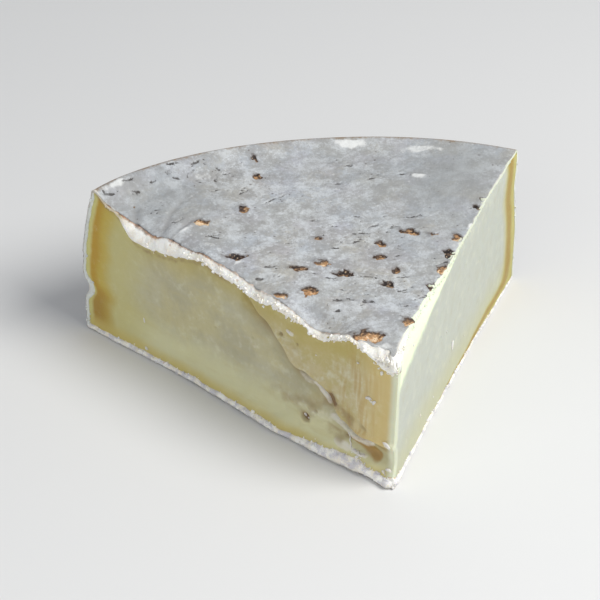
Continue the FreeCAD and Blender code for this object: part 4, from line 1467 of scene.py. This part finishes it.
def rindFinish():
    c = rindColours
    material, graph, shader = newFinish("rind", 0.8)
    spot = graph.millimetres()
    fine = graph.group(grain, Vector=spot, Size=1.1, Fuzz=0.5)
    shade, small = fine.outputs["Shade"], graph.noise(spot, 0.8, 3.0, 0.6, 9.0)
    soft = graph.noise(spot, 6.0, 2.0, 0.5, 14.0)
    where = graph.mark("where")
    onSide = graph.math("MULTIPLY", where, 1.0, clamp=True)

    def patches(size, ragged, level, shift, share):
        return graph.times(graph.patches(spot, size, ragged, level, shift), share)

    layers = Layers(graph, c, graph.blend(patches(17.0, 0.35, 0.50, 11.0, 1.0), c["cool"], c["grey"]))
    layers.lay(patches(13.0, 0.45, 0.54, 83.0, 0.75), "warm")
    layers.lay(patches(10.0, 0.30, 0.56, 47.0, 0.5), "lilac")
    layers.lay(patches(7.0, 0.60, 0.52, 61.0, 0.55), "shade")
    layers.lay(patches(5.0, 0.70, 0.53, 19.0, 0.65), "light")
    layers.lay(patches(2.8, 0.80, 0.56, 97.0, 0.55), "shade")
    layers.lay(graph.rise(shade, 0.50, 0.70, 0.55), "shade")
    layers.lay(graph.fall(shade, 0.30, 0.48, 0.6), "light")
    layers.lay(graph.times(patches(9.0, 0.9, 0.49, 71.0, 0.55), onSide), "sideBrown")
    layers.lay(graph.times(graph.mark("dull"), 0.7), "dull")
    rim = graph.wobble(graph.wobble(graph.mark("fromRim"), small, 3.0), soft, 4.0)
    layers.lay(graph.fall(rim, 0.2, 2.2, 0.9), "sideBrown")
    streaks = graph.noise(graph.stretched(spot, (0.0, 0.0, 0.25), (0.3, 1.0, 1.0)), 1.6, 3.0, 0.6, 8.0)
    layers.lay(graph.rise(streaks, 0.5, 0.75, 0.35), "shade")
    darkDots = graph.dots(spot, 1.5, 0.22, 0.20)
    layers.lay(graph.times(darkDots, patches(16.0, 0.5, 0.45, 29.0, 0.6)), "outline")
    dust = graph.dots(graph.stretched(spot, (0.7, 0.2, 0.4), (1, 1, 1)), 0.75, 0.35, 0.26)
    layers.lay(graph.times(dust, 0.3), "shade")
    paleDots = graph.dots(graph.stretched(spot, (0.3, 0.5, 0.9), (1, 1, 1)), 2.1, 0.2, 0.2)
    layers.lay(graph.times(paleDots, 0.3), "bloom")
    layers.lay(graph.times(graph.mark("fold"), 0.4), "shade")
    bloom = graph.wobble(graph.mark("bloom"), small, 1.1)
    bloom = graph.wobble(bloom, graph.noise(spot, 2.4, 2.0, 0.5, 23.0), 0.8)
    layers.lay(graph.rise(bloom, 0.15, 1.2, 0.9), "bloom")
    # blisters, dark where the mould is torn and browned to orange inside, with painted shade on their far
    # side
    inside = graph.wobble(graph.mark("spot"), small, 0.5)
    farSide = graph.rise(graph.mark("farSide"), -0.6, 0.5)
    blister = graph.rise(inside, -0.04, 0.10)
    # outline: the dark torn edge, kept to each blister's far side as painted shade
    outline = graph.times(graph.rise(inside, -0.5, -0.12), graph.times(farSide, 0.5))
    layers.lay(outline, "outline")
    tone = graph.wobble(graph.mark("tone"), graph.noise(spot, 1.1, 3.0, 0.6, 4.0), 2.4)
    # the far side pushes the tone darker and the near side lighter: painted shade and light
    tone = graph.wobble(graph.wobble(tone, small, 0.8), farSide, -0.35)
    inner = Layers(graph, c, graph.blend(graph.rise(tone, 0.15, 0.4), c["dark"], c["brown"]))
    inner.lay(graph.rise(tone, 0.5, 0.7), "tan")
    inner.lay(graph.rise(tone, 0.75, 0.95), "orange")
    inner.lay(graph.rise(tone, 1.0, 1.25), "pale")
    # painted shadow inside each blister on its far side
    shadow = graph.times(graph.fall(inside, 0.1, 0.7), graph.times(farSide, 0.85))
    inner.lay(shadow, "dark")
    grit = graph.noise(spot, 0.55, 2.0, 0.6, 6.0)
    worn = graph.noise(spot, 1.8, 2.0, 0.5, 17.0)
    inner.lay(graph.rise(grit, 0.58, 0.7, 0.7), "pale")
    inner.lay(graph.fall(grit, 0.32, 0.42, 0.75), "dark")
    crust = graph.times(graph.rise(inside, -0.12, 0.02), graph.fall(inside, 0.12, 0.35))
    inner.lay(graph.times(crust, graph.rise(worn, 0.35, 0.65, 0.7)), "crust")
    layers.colour = graph.blend(blister, layers.colour, inner.colour)
    slit = graph.wobble(graph.wobble(graph.wobble(graph.mark("slit"), small, 0.5), grit, 0.5), worn, 0.5)
    slit = graph.times(graph.rise(slit, -0.02, 0.16), graph.rise(worn, 0.25, 0.6, 0.9))
    layers.lay(slit, "slit")
    edge = graph.wobble(graph.wobble(graph.mark("fromCut"), small, 0.8), soft, 1.6)
    edge = graph.fall(edge, -0.2, 0.35, 0.75)
    brownEdge = graph.times(graph.rise(soft, 0.42, 0.58), graph.math("SUBTRACT", 1.0, onSide))
    layers.colour = graph.blend(edge, layers.colour, graph.blend(brownEdge, c["edgePale"], c["edge"]))
    graph.join(shader["Base Color"], layers.colour)
    graph.join(shader["Roughness"], graph.math("SUBTRACT", 0.86, graph.times(blister, 0.3)))
    graph.join(shader["Normal"], graph.bump(fine.outputs["Height"], 0.00022))
    return material


brokenColours = {
    "cream": tint(252, 250, 242), "beige": tint(232, 218, 192), "grey": tint(204, 202, 208),
    "pitShade": tint(142, 134, 138), "flecks": tint(172, 118, 76), "edge": tint(122, 96, 76),
    "rust": tint(186, 134, 96), "ochre": tint(204, 160, 92), "hollow": tint(206, 190, 160),
    "tan": tint(200, 184, 152), "side": tint(196, 204, 198), "thin": tint(206, 208, 190),
    "green": tint(226, 236, 206),
}


def brokenRindFinish():
    c = brokenColours
    material, graph, shader = newFinish("brokenRind", 0.85, 0.12)
    spot = graph.millimetres()
    fine = graph.group(grain, Vector=spot, Size=0.9, Fuzz=0.5)
    small = graph.noise(spot, 0.8, 3.0, 0.6, 2.0)
    beige = graph.patches(spot, 3.0, 0.7, 0.53, 13.0)
    onTop = graph.fall(graph.mark("part"), 0.0, 0.5)
    layers = Layers(graph, c, graph.blend(graph.times(beige, 0.42), c["cream"], c["beige"]))
    grey = graph.patches(spot, 1.8, 0.8, 0.50, 37.0)
    onBase = graph.rise(graph.mark("part"), 1.2, 2.0, 0.7)
    layers.lay(graph.times(grey, graph.add(onBase, 0.1)), "grey")
    # painted shade: darker beige in the hollows of the crumbly relief, and grey in the pits of the base band
    layers.lay(graph.fall(graph.mark("relief"), -0.4, -0.05, 0.55), "hollow")
    pitShade = graph.fall(graph.wobble(graph.mark("relief"), small, 0.3), -0.32, -0.12)
    layers.lay(graph.times(pitShade, onBase), "pitShade")
    onLeft = graph.math("SUBTRACT", 1.0, graph.mark("onRight"))
    dots = graph.dots(spot, 1.5, 0.16, 0.26)
    layers.lay(graph.times(dots, graph.times(onLeft, 0.4)), "flecks")
    across = graph.wobble(graph.mark("across"), small, 0.25)
    layers.lay(graph.rise(across, 0.82, 1.0, 0.75), "ochre")
    along = graph.mark("along")
    tan = graph.times(graph.rise(along, 93.5, 97.5, 0.8), graph.times(onTop, onLeft))
    layers.lay(tan, "tan")
    green = graph.times(graph.rise(along, 3.0, 12.0, 0.8), graph.times(graph.mark("onRight"), onTop))
    layers.lay(green, "green")
    thin = graph.times(graph.rise(along, 30.0, 60.0, 0.7), graph.mark("onRight"))
    layers.lay(graph.times(thin, onTop), "thin")
    onSide = graph.times(graph.rise(graph.mark("part"), 0.3, 0.9), graph.fall(graph.mark("part"), 1.1, 1.7))
    layers.lay(graph.times(onSide, 0.6), "side")
    # dark brown line along the band's edge next to the skin: partly the band's own brown, partly painted
    # shade in the crease under the skin
    dark = graph.fall(graph.wobble(across, graph.noise(spot, 4.0, 2.0, 0.5, 7.0), 0.5), 0.0, 0.18, 0.9)
    far = graph.add(graph.rise(along, 7.0, 14.0, 0.65), graph.rise(along, 50.0, 68.0, 0.35))
    rust = graph.blend(graph.rise(small, 0.4, 0.6), c["edge"], c["rust"])
    share = graph.times(dark, graph.times(far, graph.times(onTop, onLeft)))
    layers.colour = graph.blend(share, layers.colour, rust)
    graph.join(shader["Base Color"], layers.colour)
    graph.join(shader["Roughness"], graph.add(0.74, graph.times(small, 0.2)))
    graph.join(shader["Normal"], graph.bump(fine.outputs["Height"], 0.00025))
    return material


def curdFinish():
    material, graph, shader = newFinish("curd", 0.55, 0.25)
    spot = graph.millimetres()
    fine = graph.group(grain, Vector=spot, Size=1.0, Fuzz=0.4)
    colour = graph.blend(graph.mark("white"), tint(196, 184, 148), tint(232, 228, 222))
    colour = graph.blend(graph.rise(fine.outputs["Shade"], 0.45, 0.75, 0.5), colour, tint(196, 184, 164))
    graph.join(shader["Base Color"], colour)
    graph.join(shader["Roughness"], graph.add(0.45, graph.times(fine.outputs["Shade"], 0.25)))
    graph.join(shader["Normal"], graph.bump(fine.outputs["Height"], 0.00015))
    return material


settle(buildPaste(pasteFinish()))
settle(buildRind(rindFinish()))
brokenRind = brokenRindFinish()
settle(buildBrokenEdge(0, "leftBrokenEdge", brokenRind))
settle(buildBrokenEdge(1, "rightBrokenEdge", brokenRind))
settle(buildCrumbs(brokenRind))
settle(buildCurdBits(curdFinish()))


# Floor, light and camera

studio = {
    "floor": (0.72, 0.72, 0.71, 1),
    "floorHalf": 3,
    "sky": (0.62, 0.64, 0.68, 1),
    "skyStrength": 0.55,
    # each lamp's place, size, power and colour
    "windowLight": ((0.48, -0.36, 0.74), 0.60, 8.8, (1.0, 0.995, 0.985)),
    "fillLight": ((-0.60, -0.60, 0.30), 0.8, 2.1, (0.97, 0.98, 1.0)),
}
view = {
    "aim": (-0.0092, 0.0058, 0.0200),
    "azimuth": -15.04,
    "elevation": 32.04,
    "roll": 1.68,
    "distance": 0.6123,
    "lens": 137.3,
}


def addCamera():
    camera = bpy.data.objects.new("camera", bpy.data.cameras.new("camera"))
    bpy.context.scene.collection.objects.link(camera)
    azimuth, elevation = math.radians(view["azimuth"]), math.radians(view["elevation"])
    back = Vector((
        math.sin(azimuth) * math.cos(elevation),
        -math.cos(azimuth) * math.cos(elevation),
        math.sin(elevation),
    ))
    turned = back.to_track_quat("Z", "Y").to_matrix().to_4x4()
    turned = turned @ Matrix.Rotation(math.radians(view["roll"]), 4, "Z")
    camera.matrix_world = Matrix.Translation(Vector(view["aim"]) + back * view["distance"]) @ turned
    camera.data.lens = view["lens"]
    camera.data.sensor_width = 36.0
    bpy.context.scene.camera = camera


def addLight(name, place, size, power, colour):
    lamp = bpy.data.lights.new(name, "AREA")
    lamp.shape = "DISK"
    lamp.size = size
    lamp.energy = power
    lamp.color = colour
    holder = bpy.data.objects.new(name, lamp)
    bpy.context.scene.collection.objects.link(holder)
    holder.location = place
    holder.rotation_euler = (Vector((0, 0, 0.02)) - Vector(place)).to_track_quat("-Z", "Y").to_euler()


def addFloor():
    mesh = bpy.data.meshes.new("floor")
    far = studio["floorHalf"]
    mesh.from_pydata([(-far, -far, 0), (far, -far, 0), (far, far, 0), (-far, far, 0)], [], [(0, 1, 2, 3)])
    floor = bpy.data.objects.new("floor", mesh)
    bpy.context.scene.collection.objects.link(floor)
    material = bpy.data.materials.new("floor")
    material.use_nodes = True
    shader = material.node_tree.nodes["Principled BSDF"]
    shader.inputs["Base Color"].default_value = studio["floor"]
    shader.inputs["Roughness"].default_value = 0.9
    mesh.materials.append(material)


def addWorld():
    world = bpy.data.worlds.new("studio")
    world.use_nodes = True
    sky = world.node_tree.nodes["Background"]
    sky.inputs["Color"].default_value = studio["sky"]
    sky.inputs["Strength"].default_value = studio["skyStrength"]
    bpy.context.scene.world = world


addFloor()
addWorld()
for name in ("windowLight", "fillLight"):
    addLight(name, *studio[name])
addCamera()
bpy.context.scene.view_settings.view_transform = "Standard"

print("camera, floor and light are in place")
